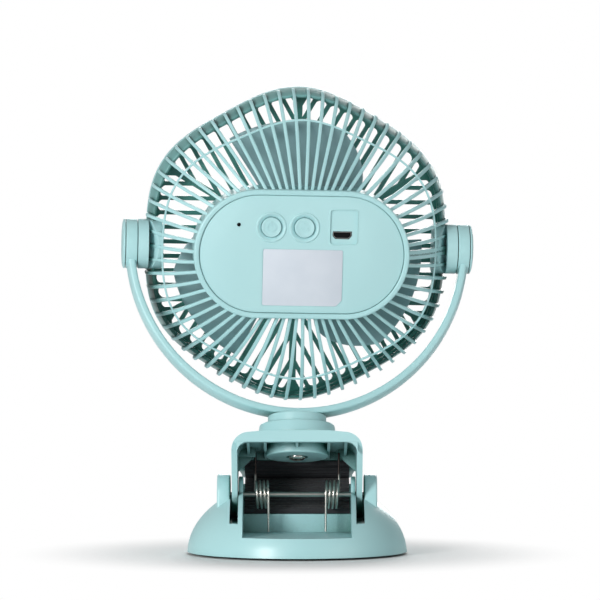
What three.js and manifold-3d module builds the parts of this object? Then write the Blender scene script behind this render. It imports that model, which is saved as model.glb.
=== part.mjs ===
// A rechargeable clip fan, in millimetres, +Z up.
// The origin is the centre of the base's underside. The fan blows towards +Y, and its buttons face -Y.
// The clip is closed, and the head is tipped a little upwards.

import * as THREE from "three";
import Module from "manifold-3d";
import { mergeVertices } from "three/addons/utils/BufferGeometryUtils.js";

// ---------------------------------------------------------------- driving sizes

// Clearances
const seatGap = 0.3; // between pieces that rest on each other
const runningGap = 0.4; // between pieces that turn or slide on each other

// Clip: pin, springs and base (the lower jaw)
const baseRadius = 49;
const domeHeight = 33.3; // height of the whole dome, before the clip is cut into it
const shellWall = 2.5;
const footHeight = 1; // the shell's rim stands this far above the table
const pinHeight = 26.5;
const pinSetback = 4; // the pin lies this far behind the base's centre
const pinDiameter = 2.3;
const lugThickness = 5.9;
const lugRadius = 9;
const cheekThickness = 2; // inner wall of each hinge fork
const trayFloor = 9.5; // height of the floor between the cheeks
const coverThickness = 2;
const padRadius = 40;
const padThickness = 1.2;

// Clip: upper jaw, measured square to its own top face
const jawLean = 12.5; // degrees that the top face slopes down towards the front
const jawWidth = 57.6;
const jawWall = 2.5;
const jawTop = 23.6; // top face above the pin
const leverReach = 32; // handle end behind the pin
const jawReach = 41.5; // nose ahead of the pin
const jawNoseWidth = 50;
const jawCorner = 8;
const jawCrown = 1.1; // the top face is this much higher in the middle
const jawFillet = 4.5; // between the walls and the ceiling
const lipHeight = 5.6;
const earRadius = 10.1;
const biteLevel = 11.4; // where the two rubber pads meet, above the pin
const biteStart = 23.7;
const padLining = 2.2;
const padRib = 0.5; // height of the ribs on the rubber
const padRibPitch = 2.4;
const throatWidth = 47;
const throatRear = 5; // rear end of the lower rubber, ahead of the pin
const throatFloor = -6.5; // its lowest face, below the pin

// Swivel between upper jaw and yoke
const swivelTurn = 4.3; // degrees that the yoke stands turned on the clip
const swivelSetback = 4; // the swivel axis crosses the top face this far behind the pin
const collarDiameter = 34.7;
const collarHeight = 6.9;
const collarChamfer = 1.8;
const neckDiameter = 26;
const neckSeatDepth = 2.5;
const bossDiameter = 28;
const bossDepth = 5;
const spigotDiameter = 5.4;
const screwPocketDiameter = 9.9;
const screwPocketDepth = 2.5;
const screwHeadDiameter = 6.6;
const screwHeadHeight = 2.2;
const screwDiameter = 3;
const washerThickness = 0.8;

// Torsion springs
const springDiameter = 13; // outside the coil
const springWire = 1;
const springCurls = 3.5;
const springPitch = 1.7;
const springInner = 12.2; // inner end of each coil from the middle
const curlSteps = 8;
const wireSides = 5;

// Yoke
const pivotHeight = 112.5; // head pivot above the pin, along the swivel axis
const yokeInnerRadius = 73.4;
const yokeThickness = 4;
const yokeDepth = 14;
const yokeCrown = 1.1; // how far the outer face swells
const yokeDrop = 1.8; // the bow hangs this much lower than a half circle
const discDiameter = 22.3;
const discInner = 72.1; // inner face of each end disc from the middle
const discThickness = 5.1;
const capThickness = 1.6;
const capChamfer = 0.9;

// Head
const headTilt = 7.8; // degrees that the head's axis rises above level
const outlineRadius = 68.4;
const outlineSwell = 1.7; // the outline is a soft hexagon: this much over and under its mean radius
const outlineCorners = 6;
const housingWidth = 95.8;
const housingHeight = 57.3;
const housingRear = 31.5; // distances behind the pivot
const ribRear = 28.4;
const bulkheadRear = 13.4;
const bulkheadThickness = 2;
const housingWall = 2.4;
const ribCount = 66;
const ribWidth = 1.5;
const ribDepth = 2.2;
const ductWidth = 4; // the rib that carries the wires is this wide
const ribTip = 6.6; // distances ahead of the pivot
const ribStand = 1.2; // the ribs' edges stand this far outside the band
const bandRear = -3;
const bandFront = 8;
const bandWall = 1.4;
const bandStep = 1.4; // the band's rear edge lies this far inside the outline
const bandFlare = 1.1; // its front edge stands this far outside the outline
const crossRingPlace = 0.66; // how far out between housing and outline
const crossRingWidth = 1.1;
const crossRingDepth = 2.2;
const frontRim = 13;
const bossRoot = 59.5; // inner end of each pivot boss from the middle
const bossNotch = 5; // ahead of this distance, the boss makes room for the front rim

// Rear panel, with what shows in it
const panelInset = 0.8; // panel face below the housing's lip
const panelThickness = 2;
const buttonDiameter = 8.9;
const buttonStand = 0.9; // button face above the panel
const buttonTravel = 0.6;
const bezelDiameter = 13.3;
const bezelHeight = 0.5;
const powerButtonPlace = [-13.8, 12];
const modeButtonPlace = [0.9, 12];
const lightDiameter = 1.6;
const lightPlace = [-28.2, 12.9];
const portPlatePlace = [18.2, 12.5];
const portPlateSize = [11.4, 14.3];
const portPlateDepth = 0.5;
const portPlace = [17.7, 8.9];
const portWidth = 8;
const portHeight = 2.9;
const portDepth = 6;
const labelPlace = [0.5, -10.3];
const labelSize = [35.3, 25.1];
const labelThickness = 0.2;
const labelCut = 2.6;

// Inside the head
const boardWidth = 56;
const boardFoot = 2.6; // lower edge above the axis
const boardClearance = 3.6; // upper edge to the housing's wall
const boardThickness = 1.6;
const boardRear = 22.6;
const switchSize = 6;
const cellWidth = 52;
const cellDepth = 7.6;
const cellTop = -3.6;
const cellClearance = 2.6; // lower edge to the housing's wall
const motorDiameter = 24;
const motorLength = 13;
const shaftDiameter = 2;

// Impeller
const bladeCount = 3;
const bladeRadius = 57;
const bladeFirstEdge = 3.5; // degrees from +X to the first straight edge
const bladeSweepRoot = 80; // degrees that a blade covers near the hub
const bladeSweepTip = 52;
const bladeRear = -7.5;
const bladeFront = 7.5;
const bladeThickness = 1.5;
const hubDiameter = 34;
const hubWall = 1.6;
const hubFront = 8.8;

// Front grille
const slotPitch = 6.6;
const slotBar = 1.9; // bar left between two slots
const slotRows = Math.floor(outlineRadius / 2 / slotPitch); // on each side of a sector's middle line
const lastRowCut = 2.1; // the row beside the spine is this much narrower
const slotMargin = 3.4; // from the slots' outer ends to the outline
const spineWidth = 3.2; // bar along each corner of the hexagon
const frontDiscRadius = 17;
const grilleThickness = 2;

// ---------------------------------------------------------------- finishes

const finish = (color, roughness, metalness = 0) =>
  new THREE.MeshStandardMaterial({ color, roughness, metalness });
const mint = finish(0xb0dbde, 0.5);
const bladeMint = finish(0x73949a, 0.5);
const panelMint = finish(0xb4dfe2, 0.45);
const rubber = finish(0x20262a, 0.85);
const steel = finish(0xbeb9af, 0.3, 1);
const labelFilm = finish(0xdde2ec, 0.6);
const clearPlastic = finish(0xf2f4f4, 0.3);
const boardGreen = finish(0x1f5a3c, 0.6);
const darkPlastic = finish(0x1a1c1e, 0.5);
const cellFoil = finish(0x9aa3aa, 0.4);

// ---------------------------------------------------------------- solids

const wasm = await Module();
wasm.setup();

const radians = THREE.MathUtils.degToRad;

// A closed geometry as a solid that can be joined and cut.
function solid(geometry) {
  const bare = geometry.clone();
  bare.deleteAttribute("normal");
  bare.deleteAttribute("uv");
  const merged = mergeVertices(bare, 1e-4);
  return new wasm.Manifold(
    new wasm.Mesh({
      numProp: 3,
      vertProperties: merged.attributes.position.array,
      triVerts: new Uint32Array(merged.index.array),
    }),
  );
}

function geometryOf(body) {
  const { vertProperties, triVerts } = body.getMesh();
  const geometry = new THREE.BufferGeometry();
  geometry.setAttribute("position", new THREE.BufferAttribute(vertProperties, 3));
  geometry.setIndex(new THREE.BufferAttribute(triVerts, 1));
  geometry.computeVertexNormals();
  return geometry;
}

const joined = (bodies) => bodies.reduce((sum, body) => sum.add(body));
const cutBy = (body, cutters) => body.subtract(joined(cutters));

const matrixToX = new THREE.Matrix4().set(0, 0, 1, 0, 1, 0, 0, 0, 0, 1, 0, 0, 0, 0, 0, 1);

// Turns a geometry made along +Z so that it lies along another axis. What was drawn in X and Y is then
// Y and Z for the X axis, and X and Z for the Y axis, where the length runs from high to low.
const alongAxis = {
  x: (g, from) => g.applyMatrix4(matrixToX).translate(from, 0, 0),
  y: (g, from, to) => g.rotateX(Math.PI / 2).translate(0, to, 0),
  z: (g, from) => g.translate(0, 0, from),
};

// A flat outline made thick between two distances along an axis.
function slab(shape, axis, from, to, curveSegments = 6) {
  const g = new THREE.ExtrudeGeometry(shape, { depth: to - from, bevelEnabled: false, curveSegments });
  return solid(alongAxis[axis](g, from, to));
}

function outlineOf(points) {
  return new THREE.Shape(points.map(([x, y]) => new THREE.Vector2(x, y)));
}

function block(x, y, z) {
  const g = new THREE.BoxGeometry(x[1] - x[0], y[1] - y[0], z[1] - z[0]);
  return solid(g.translate((x[0] + x[1]) / 2, (y[0] + y[1]) / 2, (z[0] + z[1]) / 2));
}

// A turned solid. Its profile lists [radius, distance along the axis], counterclockwise.
function turned(profile, axis = "z", segments = 32) {
  const g = new THREE.LatheGeometry(profile.map(([r, h]) => new THREE.Vector2(r, h)), segments);
  if (axis === "z") g.rotateX(Math.PI / 2);
  if (axis === "x") g.rotateZ(-Math.PI / 2);
  return solid(g);
}

const rod = (diameter, axis, from, to, segments = 16) =>
  turned([[0, from], [diameter / 2, from], [diameter / 2, to], [0, to]], axis, segments);

// A piece drawn for the right side, or its mirror image for the left.
const handed = (body, side) => (side > 0 ? body : body.mirror([1, 0, 0]));

// A washer or sleeve round an axis.
const sleeve = (inner, outer, axis, from, to, segments = 16) =>
  turned(
    [[inner / 2, from], [outer / 2, from], [outer / 2, to], [inner / 2, to], [inner / 2, from]],
    axis,
    segments,
  );

// Faces between closed rings of points. The rings are joined in a circle, or capped at both ends.
function loft(rings, closed) {
  const sides = rings[0].length;
  const positions = rings.flat(2);
  const faces = [];
  const steps = closed ? rings.length : rings.length - 1;
  for (let i = 0; i < steps; i++) {
    const a = i * sides;
    const b = ((i + 1) % rings.length) * sides;
    for (let j = 0; j < sides; j++) {
      const k = (j + 1) % sides;
      faces.push(a + j, a + k, b + k, a + j, b + k, b + j);
    }
  }
  if (!closed) {
    const last = (rings.length - 1) * sides;
    for (let j = 1; j < sides - 1; j++) {
      faces.push(0, j + 1, j);
      faces.push(last, last + j, last + j + 1);
    }
  }
  const g = new THREE.BufferGeometry();
  g.setAttribute("position", new THREE.BufferAttribute(new Float32Array(positions), 3));
  g.setIndex(faces);
  return solid(g);
}

// A ring round the head's axis whose section changes with the angle.
function ringRound(sectionAt, segments = ribCount / 2) {
  const rings = [];
  for (let i = 0; i < segments; i++) {
    const angle = (2 * Math.PI * i) / segments;
    rings.push(sectionAt(angle).map(([r, y]) => [r * Math.cos(angle), y, r * Math.sin(angle)]));
  }
  return loft(rings, true);
}

// ---------------------------------------------------------------- assembly frames

const part = new THREE.Group();
const clipFrame = new THREE.Group(); // at the clip pin, level
const jawFrame = new THREE.Group(); // at the clip pin, square to the upper jaw's top face
const yokeFrame = new THREE.Group(); // at the head pivot, along the swivel axis
const headFrame = new THREE.Group(); // at the head pivot, along the fan's axis
clipFrame.position.set(0, -pinSetback, pinHeight);
jawFrame.rotation.x = -radians(jawLean);
yokeFrame.position.set(0, -swivelSetback, pivotHeight);
yokeFrame.rotation.z = radians(swivelTurn);
headFrame.rotation.x = radians(jawLean + headTilt);
part.add(clipFrame);
clipFrame.add(jawFrame);
jawFrame.add(yokeFrame);
yokeFrame.add(headFrame);

function piece(name, body, material, frame) {
  const mesh = new THREE.Mesh(geometryOf(body), material);
  mesh.name = name;
  frame.add(mesh);
}

// ---------------------------------------------------------------- clip: lower jaw

const jawHalf = jawWidth / 2;
const lugInner = jawHalf + 2 * runningGap;
const lugOuter = lugInner + lugThickness;
const cheekOuter = jawHalf - jawWall - runningGap;
const cheekInner = cheekOuter - cheekThickness;
const pinReach = lugOuter - 1;
const coverRadius = baseRadius - shellWall - runningGap;
const coverBottom = padThickness + seatGap;

// Points of a level jaw's slope, given in the upper jaw's own directions.
function fromJaw([y, z]) {
  const lean = radians(jawLean);
  return [y * Math.cos(lean) + z * Math.sin(lean), z * Math.cos(lean) - y * Math.sin(lean)];
}

// The dome about the base's centre, from the table up, shrunk by a wall.
function dome(wall, bottom, segments = 36, steps = 6) {
  const radius = baseRadius - wall;
  const height = domeHeight - wall;
  const start = Math.asin(bottom / height);
  const profile = [[0, bottom]];
  for (let i = 0; i <= steps; i++) {
    const a = start + ((Math.PI / 2 - start) * i) / steps;
    profile.push([i === steps ? 0 : radius * Math.cos(a), height * Math.sin(a)]);
  }
  return turned(profile, "z", segments).translate([0, pinSetback, -pinHeight]);
}

// The hinge fork's wall: round about the pin, with straight sides down into the dome.
function lugOutline(radius, foot) {
  const shape = new THREE.Shape();
  shape.moveTo(-radius - 3, foot);
  shape.lineTo(radius + 3, foot);
  shape.lineTo(radius, 0);
  shape.absarc(0, 0, radius, 0, Math.PI, false);
  return shape;
}

// Faces of the two rubbers in side view, listed from the throat to the nose.
const lowerBite = biteLevel - seatGap / 2;
const upperBite = biteLevel + seatGap / 2;

function lowerPadFace() {
  const path = new THREE.Path();
  path.moveTo(throatRear, throatFloor);
  const bend = fromJaw([biteStart - 7, lowerBite]);
  const start = fromJaw([biteStart, lowerBite]);
  path.bezierCurveTo(throatRear + 12, throatFloor, ...bend, ...start);
  path.lineTo(...fromJaw([jawReach - 2, lowerBite]));
  return path;
}

function upperPadFace() {
  const path = new THREE.Path();
  path.moveTo(biteStart - 12, upperBite + 3.5);
  path.bezierCurveTo(biteStart - 7, upperBite + 3.5, biteStart - 6, upperBite, biteStart, upperBite);
  path.lineTo(jawReach - 2, upperBite);
  return path;
}

// Points along a path, each moved square to it by a distance that may differ from point to point.
function besidePath(path, count, distance) {
  const points = [];
  for (let i = 0; i <= count; i++) {
    const at = path.getPointAt(i / count);
    const along = path.getTangentAt(i / count);
    points.push([at.x - along.y * distance(i), at.y + along.x * distance(i)]);
  }
  return points;
}

function baseShell() {
  const tray = trayFloor - pinHeight;
  const foot = trayFloor - pinHeight - shellWall;
  const front = baseRadius;
  const shell = cutBy(dome(0, footHeight), [dome(shellWall, footHeight, 24, 4)]);
  const core = dome(0, footHeight).intersect(block([-lugOuter, lugOuter], [-60, 60], [foot, 40]));
  const lugs = [-1, 1].flatMap((side) => {
    const lug = slab(lugOutline(lugRadius, foot), "x", lugInner, lugOuter, 7);
    const cheek = slab(lugOutline(lugRadius - 1, foot), "x", cheekInner, cheekOuter, 7);
    return [handed(lug, side), handed(cheek, side)];
  });
  const seat = besidePath(lowerPadFace(), 14, () => -padLining - seatGap);
  const nose = fromJaw([jawReach, lowerBite - padLining - 3]);
  const beakOutline = outlineOf([
    [throatRear - 1, foot], [front - 7, foot], [nose[0] + 1, -10], nose, ...seat.reverse(),
  ]);
  const beak = slab(beakOutline, "x", -throatWidth / 2 - 2, throatWidth / 2 + 2);
  const body = joined([shell, core]);
  const channel = block([-cheekInner, cheekInner], [-60, throatRear - 1], [tray, 40]);
  const throat = block([-cheekOuter, cheekOuter], [throatRear - 1, 26], [-9, 40]);
  const grooves = [-1, 1].map((side) => {
    const x = side > 0 ? [cheekOuter, lugInner] : [-lugInner, -cheekOuter];
    return block(x, [-60, earRadius + 5], [-earRadius - 1.2, 40]);
  });
  const pinHole = rod(pinDiameter + 2 * runningGap, "x", -60, 60, 16);
  const seatTop = coverBottom + coverThickness + seatGap;
  const coverSeat = rod(2 * (coverRadius + runningGap), "z", 0, seatTop, 36);
  const open = cutBy(body, [channel, throat]);
  const withBeak = joined([open, ...lugs, beak.intersect(noseTrim())]);
  return cutBy(withBeak, [...grooves, pinHole, coverSeat.translate([0, pinSetback, -pinHeight])]);
}

// Plan outline that rounds the jaws' noses.
function noseTrim() {
  const half = jawNoseWidth / 2;
  const shape = new THREE.Shape();
  const tip = jawReach + 2;
  shape.moveTo(-half, -60);
  shape.lineTo(half, -60);
  shape.lineTo(half, tip - 12);
  shape.quadraticCurveTo(half, tip, half - 12, tip);
  shape.lineTo(12 - half, tip);
  shape.quadraticCurveTo(-half, tip, -half, tip - 12);
  return slab(shape, "z", -40, 40);
}

// A strip of rubber in side view. Its face carries ribs across the jaw.
// The side is 1 where its back lies below, and -1 where it lies above.
function ribbedStrip(path, side) {
  const count = Math.round(path.getLength() / padRibPitch) * 2;
  const face = besidePath(path, count, (i) => (i % 2 ? -padRib * side : 0));
  const back = besidePath(path, count, () => -padLining * side);
  return outlineOf(side > 0 ? [...back, ...face.reverse()] : [...face, ...back.reverse()]);
}

function jawPad(path, side) {
  return slab(ribbedStrip(path, side), "x", -throatWidth / 2, throatWidth / 2).intersect(noseTrim());
}

function clipPin() {
  return rod(pinDiameter, "x", -pinReach, pinReach, 16);
}

function baseCover() {
  return rod(2 * coverRadius, "z", coverBottom, coverBottom + coverThickness, 36);
}

function basePad() {
  return rod(2 * padRadius, "z", 0, padThickness, 44);
}

// ---------------------------------------------------------------- clip: upper jaw

const ceiling = jawTop - jawWall;
const collarTop = jawTop + collarHeight;
const bossFace = ceiling - bossDepth;
const upperSeatLevel = upperBite + padLining + seatGap;

// Roof in side view: rear lip, ceiling, and the solid nose over the rubber's seat.
function roofOutline() {
  const shape = new THREE.Shape();
  shape.moveTo(-leverReach, jawTop - lipHeight);
  shape.lineTo(-leverReach + jawWall, jawTop - lipHeight);
  shape.lineTo(-leverReach + jawWall, ceiling);
  const seat = besidePath(upperPadFace(), 12, () => padLining + seatGap);
  shape.lineTo(seat[0][0], ceiling);
  for (const [y, z] of seat) shape.lineTo(y, z);
  shape.lineTo(jawReach, upperSeatLevel);
  shape.quadraticCurveTo(jawReach + 1, upperSeatLevel + 2.5, jawReach - 4, upperSeatLevel + 4.5);
  shape.quadraticCurveTo(24, jawTop, 6, jawTop);
  shape.lineTo(-leverReach, jawTop);
  return shape;
}

// Side wall in side view: from the roof down to a round ear about the pin.
function sideWallOutline() {
  const shape = new THREE.Shape();
  const earRear = radians(200);
  const earFront = radians(-20);
  shape.moveTo(-leverReach, jawTop - lipHeight);
  shape.lineTo(earRadius * Math.cos(earRear), earRadius * Math.sin(earRear));
  shape.absarc(0, 0, earRadius, earRear, earFront + 2 * Math.PI, false);
  shape.lineTo(13, 12);
  shape.lineTo(22, upperSeatLevel + 1);
  shape.lineTo(22, jawTop - 1);
  shape.lineTo(-leverReach, jawTop);
  return shape;
}

// Front view of the jaw: an arch with round shoulders and a slightly crowned top.
function archOutline() {
  const shape = new THREE.Shape();
  const shoulder = jawHalf - jawCorner;
  shape.moveTo(-jawHalf, -20);
  shape.lineTo(jawHalf, -20);
  const side = jawTop - jawCrown;
  shape.lineTo(jawHalf, side - jawCorner);
  shape.quadraticCurveTo(jawHalf, side - 0.3, shoulder, side);
  shape.quadraticCurveTo(0, jawTop + jawCrown, -shoulder, side);
  shape.quadraticCurveTo(-jawHalf, side - 0.3, -jawHalf, side - jawCorner);
  return shape;
}

// Plan of the jaw: full width over the hinge, narrower at the nose.
function jawPlan() {
  const nose = jawNoseWidth / 2;
  const tip = jawReach + 1;
  const shape = new THREE.Shape();
  shape.moveTo(-jawHalf, -leverReach - 1);
  shape.lineTo(jawHalf, -leverReach - 1);
  shape.lineTo(jawHalf, 10);
  shape.lineTo(nose, 25);
  shape.quadraticCurveTo(nose, tip, nose - 12, tip);
  shape.lineTo(12 - nose, tip);
  shape.quadraticCurveTo(-nose, tip, -nose, 25);
  shape.lineTo(-jawHalf, 10);
  return shape;
}

// Stiffening ribs under the ceiling: five along the lever, one across, and two gussets at the walls.
function ceilingRibs() {
  const thickness = 1.2;
  const depth = 3;
  const half = thickness / 2;
  const inner = jawHalf - jawWall;
  const ribs = [-21.5, -14, 0, 14, 21.5].map((x) =>
    block([x - half, x + half], [-leverReach + 2, 12], [ceiling - depth, ceiling + 1]),
  );
  const cross = block([-inner, -18.6], [1 - half, 1 + half], [ceiling - depth - 1, ceiling + 1]);
  const gussets = [-1, 1].map((side) => {
    const web = outlineOf([
      [18.6, ceiling + 1], [18.6, ceiling - depth], [inner + 1, 10], [inner + 1, ceiling + 1],
    ]);
    return handed(slab(web, "y", 4, 4 + thickness), side);
  });
  return [...ribs, cross, ...gussets];
}

// Fillets inside the shoulders, along the lever.
function shoulderFillets() {
  const inner = jawHalf - jawWall;
  const bulge = jawFillet * 0.3;
  const shape = outlineOf([
    [inner + 0.2, ceiling + 0.2],
    [inner - jawFillet, ceiling + 0.2],
    [inner - bulge, ceiling - bulge],
    [inner + 0.2, ceiling - jawFillet],
  ]);
  return [-1, 1].map((side) => handed(slab(shape, "y", -leverReach, 12), side));
}

// A round socket on the top face: the yoke's neck turns in it.
function collar() {
  const outer = collarDiameter / 2;
  return turned([
    [0, ceiling],
    [outer, ceiling],
    [outer, collarTop - collarChamfer],
    [outer - collarChamfer, collarTop],
    [0, collarTop],
  ], "z", 32);
}

function upperJaw() {
  const walls = [-1, 1].map((side) => {
    return handed(slab(sideWallOutline(), "x", jawHalf - jawWall, jawHalf, 8), side);
  });
  const roof = slab(roofOutline(), "x", -jawHalf, jawHalf, 6);
  const moulding = joined([roof, ...walls, ...shoulderFillets()])
    .intersect(slab(archOutline(), "y", -60, 60, 6))
    .intersect(slab(jawPlan(), "z", -40, 60, 5));
  const boss = rod(bossDiameter, "z", bossFace, ceiling + 1, 32);
  const ribRoom = rod(screwPocketDiameter + 4, "z", 0, 40).translate([0, -swivelSetback, 0]);
  const ribs = cutBy(joined(ceilingRibs()), [ribRoom]);
  const onAxis = joined([collar(), boss]).translate([0, -swivelSetback, 0]);
  const bores = joined([
    rod(neckDiameter + 2 * runningGap, "z", collarTop - neckSeatDepth, 60, 40),
    rod(spigotDiameter + 2 * runningGap, "z", 0, 60),
    rod(screwPocketDiameter, "z", 0, bossFace + screwPocketDepth, 24),
  ]).translate([0, -swivelSetback, 0]);
  const pinHole = rod(pinDiameter + 2 * runningGap, "x", -60, 60, 16);
  return cutBy(joined([moulding, onAxis, ribs]), [bores, pinHole]);
}

// ---------------------------------------------------------------- torsion springs

// A wire along a path of points, as rings of a few points each.
function wireAlong(points, diameter) {
  const tangents = points.map((p, i) => {
    const before = points[Math.max(i - 1, 0)];
    const after = points[Math.min(i + 1, points.length - 1)];
    return after.clone().sub(before).normalize();
  });
  let side = new THREE.Vector3(1, 0, 0).cross(tangents[0]).normalize();
  return points.map((p, i) => {
    side = side.clone().addScaledVector(tangents[i], -side.dot(tangents[i])).normalize();
    const other = tangents[i].clone().cross(side);
    const ring = [];
    for (let k = 0; k < wireSides; k++) {
      const a = (2 * Math.PI * k) / wireSides;
      const at = p.clone().addScaledVector(side, (Math.cos(a) * diameter) / 2);
      ring.push(at.addScaledVector(other, (Math.sin(a) * diameter) / 2).toArray());
    }
    return ring;
  });
}

// The path of one spring, about the pin: lower leg at the inner end, upper leg at the outer.
function springPath(side) {
  const radius = (springDiameter - springWire) / 2;
  const steps = springCurls * curlSteps;
  const start = radians(180);
  const points = [];
  for (let i = 0; i <= steps; i++) {
    const a = start - (2 * Math.PI * i) / curlSteps;
    const x = springInner + springWire / 2 + (springPitch * i) / curlSteps;
    points.push(new THREE.Vector3(side * x, radius * Math.cos(a), radius * Math.sin(a)));
  }
  const first = points[0];
  const last = points[points.length - 1];
  const floor = trayFloor - pinHeight + seatGap + springWire / 2;
  const lowerLeg = [
    new THREE.Vector3(first.x, first.y, floor),
    new THREE.Vector3(first.x, first.y, floor + springWire),
  ];
  const roofAt = fromJaw([last.y, ceiling - seatGap - springWire / 2]);
  const upperLeg = [
    new THREE.Vector3(last.x, last.y, roofAt[1] - springWire),
    new THREE.Vector3(last.x, last.y, roofAt[1] - 0.3),
  ];
  return [...lowerLeg, ...points, ...upperLeg];
}

function spring(side) {
  return loft(wireAlong(springPath(side), springWire), false);
}

// Least gap between turns, measured between points of the wire's centre line on different turns.
function leastSpringGap() {
  const points = springPath(1);
  let least = Infinity;
  for (let i = 0; i < points.length; i++) {
    for (let j = i + curlSteps - 2; j < points.length; j++) {
      least = Math.min(least, points[i].distanceTo(points[j]) - springWire);
    }
  }
  return least;
}

// ---------------------------------------------------------------- yoke

const discOuter = discInner + discThickness;
const yokeOuterRadius = yokeInnerRadius + yokeThickness;
const neckFoot = collarTop - neckSeatDepth + seatGap - pivotHeight;
const spigotFoot = bossFace + screwPocketDepth - runningGap - pivotHeight;

// Section of the yoke's bow: flat inside, crowned outside, with soft edges.
function bowSection() {
  const half = yokeDepth / 2;
  const inner = yokeInnerRadius;
  const outer = yokeOuterRadius;
  return [
    [inner, -half + 1.2], [inner + 0.8, -half], [outer - yokeCrown, -half], [outer, -half * 0.4],
    [outer, half * 0.4], [outer - yokeCrown, half], [inner + 0.8, half], [inner, half - 1.2],
  ];
}

function yokeBow(steps = 32) {
  const rings = [];
  for (let i = 0; i <= steps; i++) {
    const a = Math.PI + (Math.PI * i) / steps;
    const drop = yokeDrop * Math.sin(a);
    rings.push(bowSection().map(([r, y]) => [r * Math.cos(a), y, r * Math.sin(a) + drop]));
  }
  return loft(rings, false);
}

function yoke() {
  const discs = [-1, 1].map((side) => {
    return handed(rod(discDiameter, "x", discInner, discOuter, 32), side);
  });
  const neckTop = -yokeInnerRadius - yokeDrop - 2.6;
  const neck = turned([
    [0, neckFoot], [neckDiameter / 2, neckFoot], [neckDiameter / 2, neckTop - 0.6],
    [neckDiameter / 2 - 0.6, neckTop], [0, neckTop],
  ], "z", 32);
  const spigot = rod(spigotDiameter, "z", spigotFoot, neckFoot + 1);
  const screwBore = rod(screwDiameter + 2 * seatGap, "z", spigotFoot - 1, spigotFoot + 12);
  const pivotBores = joined([
    rod(screwDiameter + 2 * runningGap, "x", -90, 90),
    rod(screwHeadDiameter + 2 * runningGap, "x", discOuter - 3.4, 90),
    rod(screwHeadDiameter + 2 * runningGap, "x", -90, 3.4 - discOuter),
  ]);
  return cutBy(joined([yokeBow(), ...discs, neck, spigot]), [screwBore, pivotBores]);
}

function pivotCap(side) {
  const r = discDiameter / 2;
  const from = discOuter + seatGap;
  const to = from + capThickness;
  const profile = [[0, from], [r, from], [r, to - capChamfer], [r - 1.6, to - 0.3], [r - 5, to], [0, to]];
  return handed(turned(profile, "x", 24), side);
}

// A pan-head screw: head outwards, shank inwards, along an axis.
function panScrew(axis, headFrom, length) {
  const r = screwHeadDiameter / 2;
  const to = headFrom + screwHeadHeight;
  return turned([
    [0, headFrom - length], [screwDiameter / 2, headFrom - length], [screwDiameter / 2, headFrom],
    [r, headFrom], [r, headFrom + 1.2], [r - 0.9, to], [0, to],
  ], axis, 14);
}

const pivotSeat = discOuter - 3.4; // floor of the pocket for each pivot screw

function pivotWasher(side) {
  const from = pivotSeat + 0.1;
  return handed(sleeve(screwDiameter + 0.6, screwHeadDiameter, "x", from, from + 0.5, 14), side);
}

function pivotScrew(side) {
  const from = pivotSeat + 0.1 + 0.5 + 0.2;
  return handed(panScrew("x", from, from - bossRoot - 2), side);
}

// The swivel screw points up into the yoke's spigot, so it is drawn upside down.
const swivelWasherTop = spigotFoot - seatGap;

function swivelWasher() {
  const bottom = swivelWasherTop - washerThickness;
  return sleeve(screwDiameter + 0.6, screwPocketDiameter - 0.8, "z", bottom, swivelWasherTop);
}

function swivelScrew() {
  const headTop = swivelWasherTop - washerThickness - seatGap;
  return panScrew("z", -headTop, 10).rotate([180, 0, 0]);
}

// ---------------------------------------------------------------- head: shapes shared by its pieces

// Outline of the ribs' tips: a soft hexagon with a corner at the top.
const outline = (angle) => outlineRadius + outlineSwell * Math.cos(outlineCorners * (angle - Math.PI / 2));

// Distance from the axis to a stadium's edge, inset by a wall.
function stadiumRadius(angle, inset = 0) {
  const end = housingHeight / 2 - inset;
  const straight = (housingWidth - housingHeight) / 2;
  const c = Math.abs(Math.cos(angle));
  const s = Math.abs(Math.sin(angle));
  const onStraight = end / s;
  if (onStraight * c <= straight) return onStraight;
  return straight * c + Math.sqrt(end * end - straight * straight * s * s);
}

// Stadium outline as a shape in X and Z.
function stadium(inset) {
  const end = housingHeight / 2 - inset;
  const straight = (housingWidth - housingHeight) / 2;
  const shape = new THREE.Shape();
  shape.moveTo(-straight, -end);
  shape.lineTo(straight, -end);
  shape.absarc(straight, 0, end, -Math.PI / 2, Math.PI / 2, false);
  shape.lineTo(-straight, end);
  shape.absarc(-straight, 0, end, Math.PI / 2, (3 * Math.PI) / 2, false);
  return shape;
}

// The rear dome between housing and outline: place 0 is at the housing, place 1 at the shoulder.
function domePoint(angle, place) {
  const inner = stadiumRadius(angle) - 1;
  const radius = inner + (outline(angle) - inner) * place;
  const rise = 0.55 * place + 0.45 * Math.pow(place, 4);
  const front = -1;
  return [radius, -ribRear + (ribRear + front) * rise];
}

// ---------------------------------------------------------------- head: rear grille

// The band's outer face at a distance along the axis.
function bandFace(angle, y) {
  return outline(angle) - bandStep + ((bandFlare + bandStep) * (y - bandRear)) / (bandFront - bandRear);
}

// A rib's side: along the dome, round the shoulder and forward to its tip, then back inside the band.
function ribOutline(angle) {
  const outer = [0, 0.5, 0.84].map((place) => domePoint(angle, place));
  outer.push([bandFace(angle, bandRear) + ribStand, bandRear]);
  const tip = bandFace(angle, ribTip);
  outer.push([tip + ribStand, ribTip], [tip - bandWall / 2, ribTip]);
  const inner = [0, 0.84].map((place) => {
    const [r, y] = domePoint(angle, place);
    return [r - ribDepth * (0.35 + 0.5 * place), y + ribDepth * (1 - 0.35 * place)];
  });
  const root = bandFace(angle, bandRear + 0.8) - bandWall / 2;
  return [...outer, [root, bandRear + 0.8], ...inner.reverse()];
}

function rib(angle, width) {
  const shape = outlineOf(ribOutline(angle).map(([r, y]) => [r, y]));
  const g = new THREE.ExtrudeGeometry(shape, { depth: width, bevelEnabled: false });
  return solid(g.translate(0, 0, -width / 2).rotateY(-angle));
}

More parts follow.
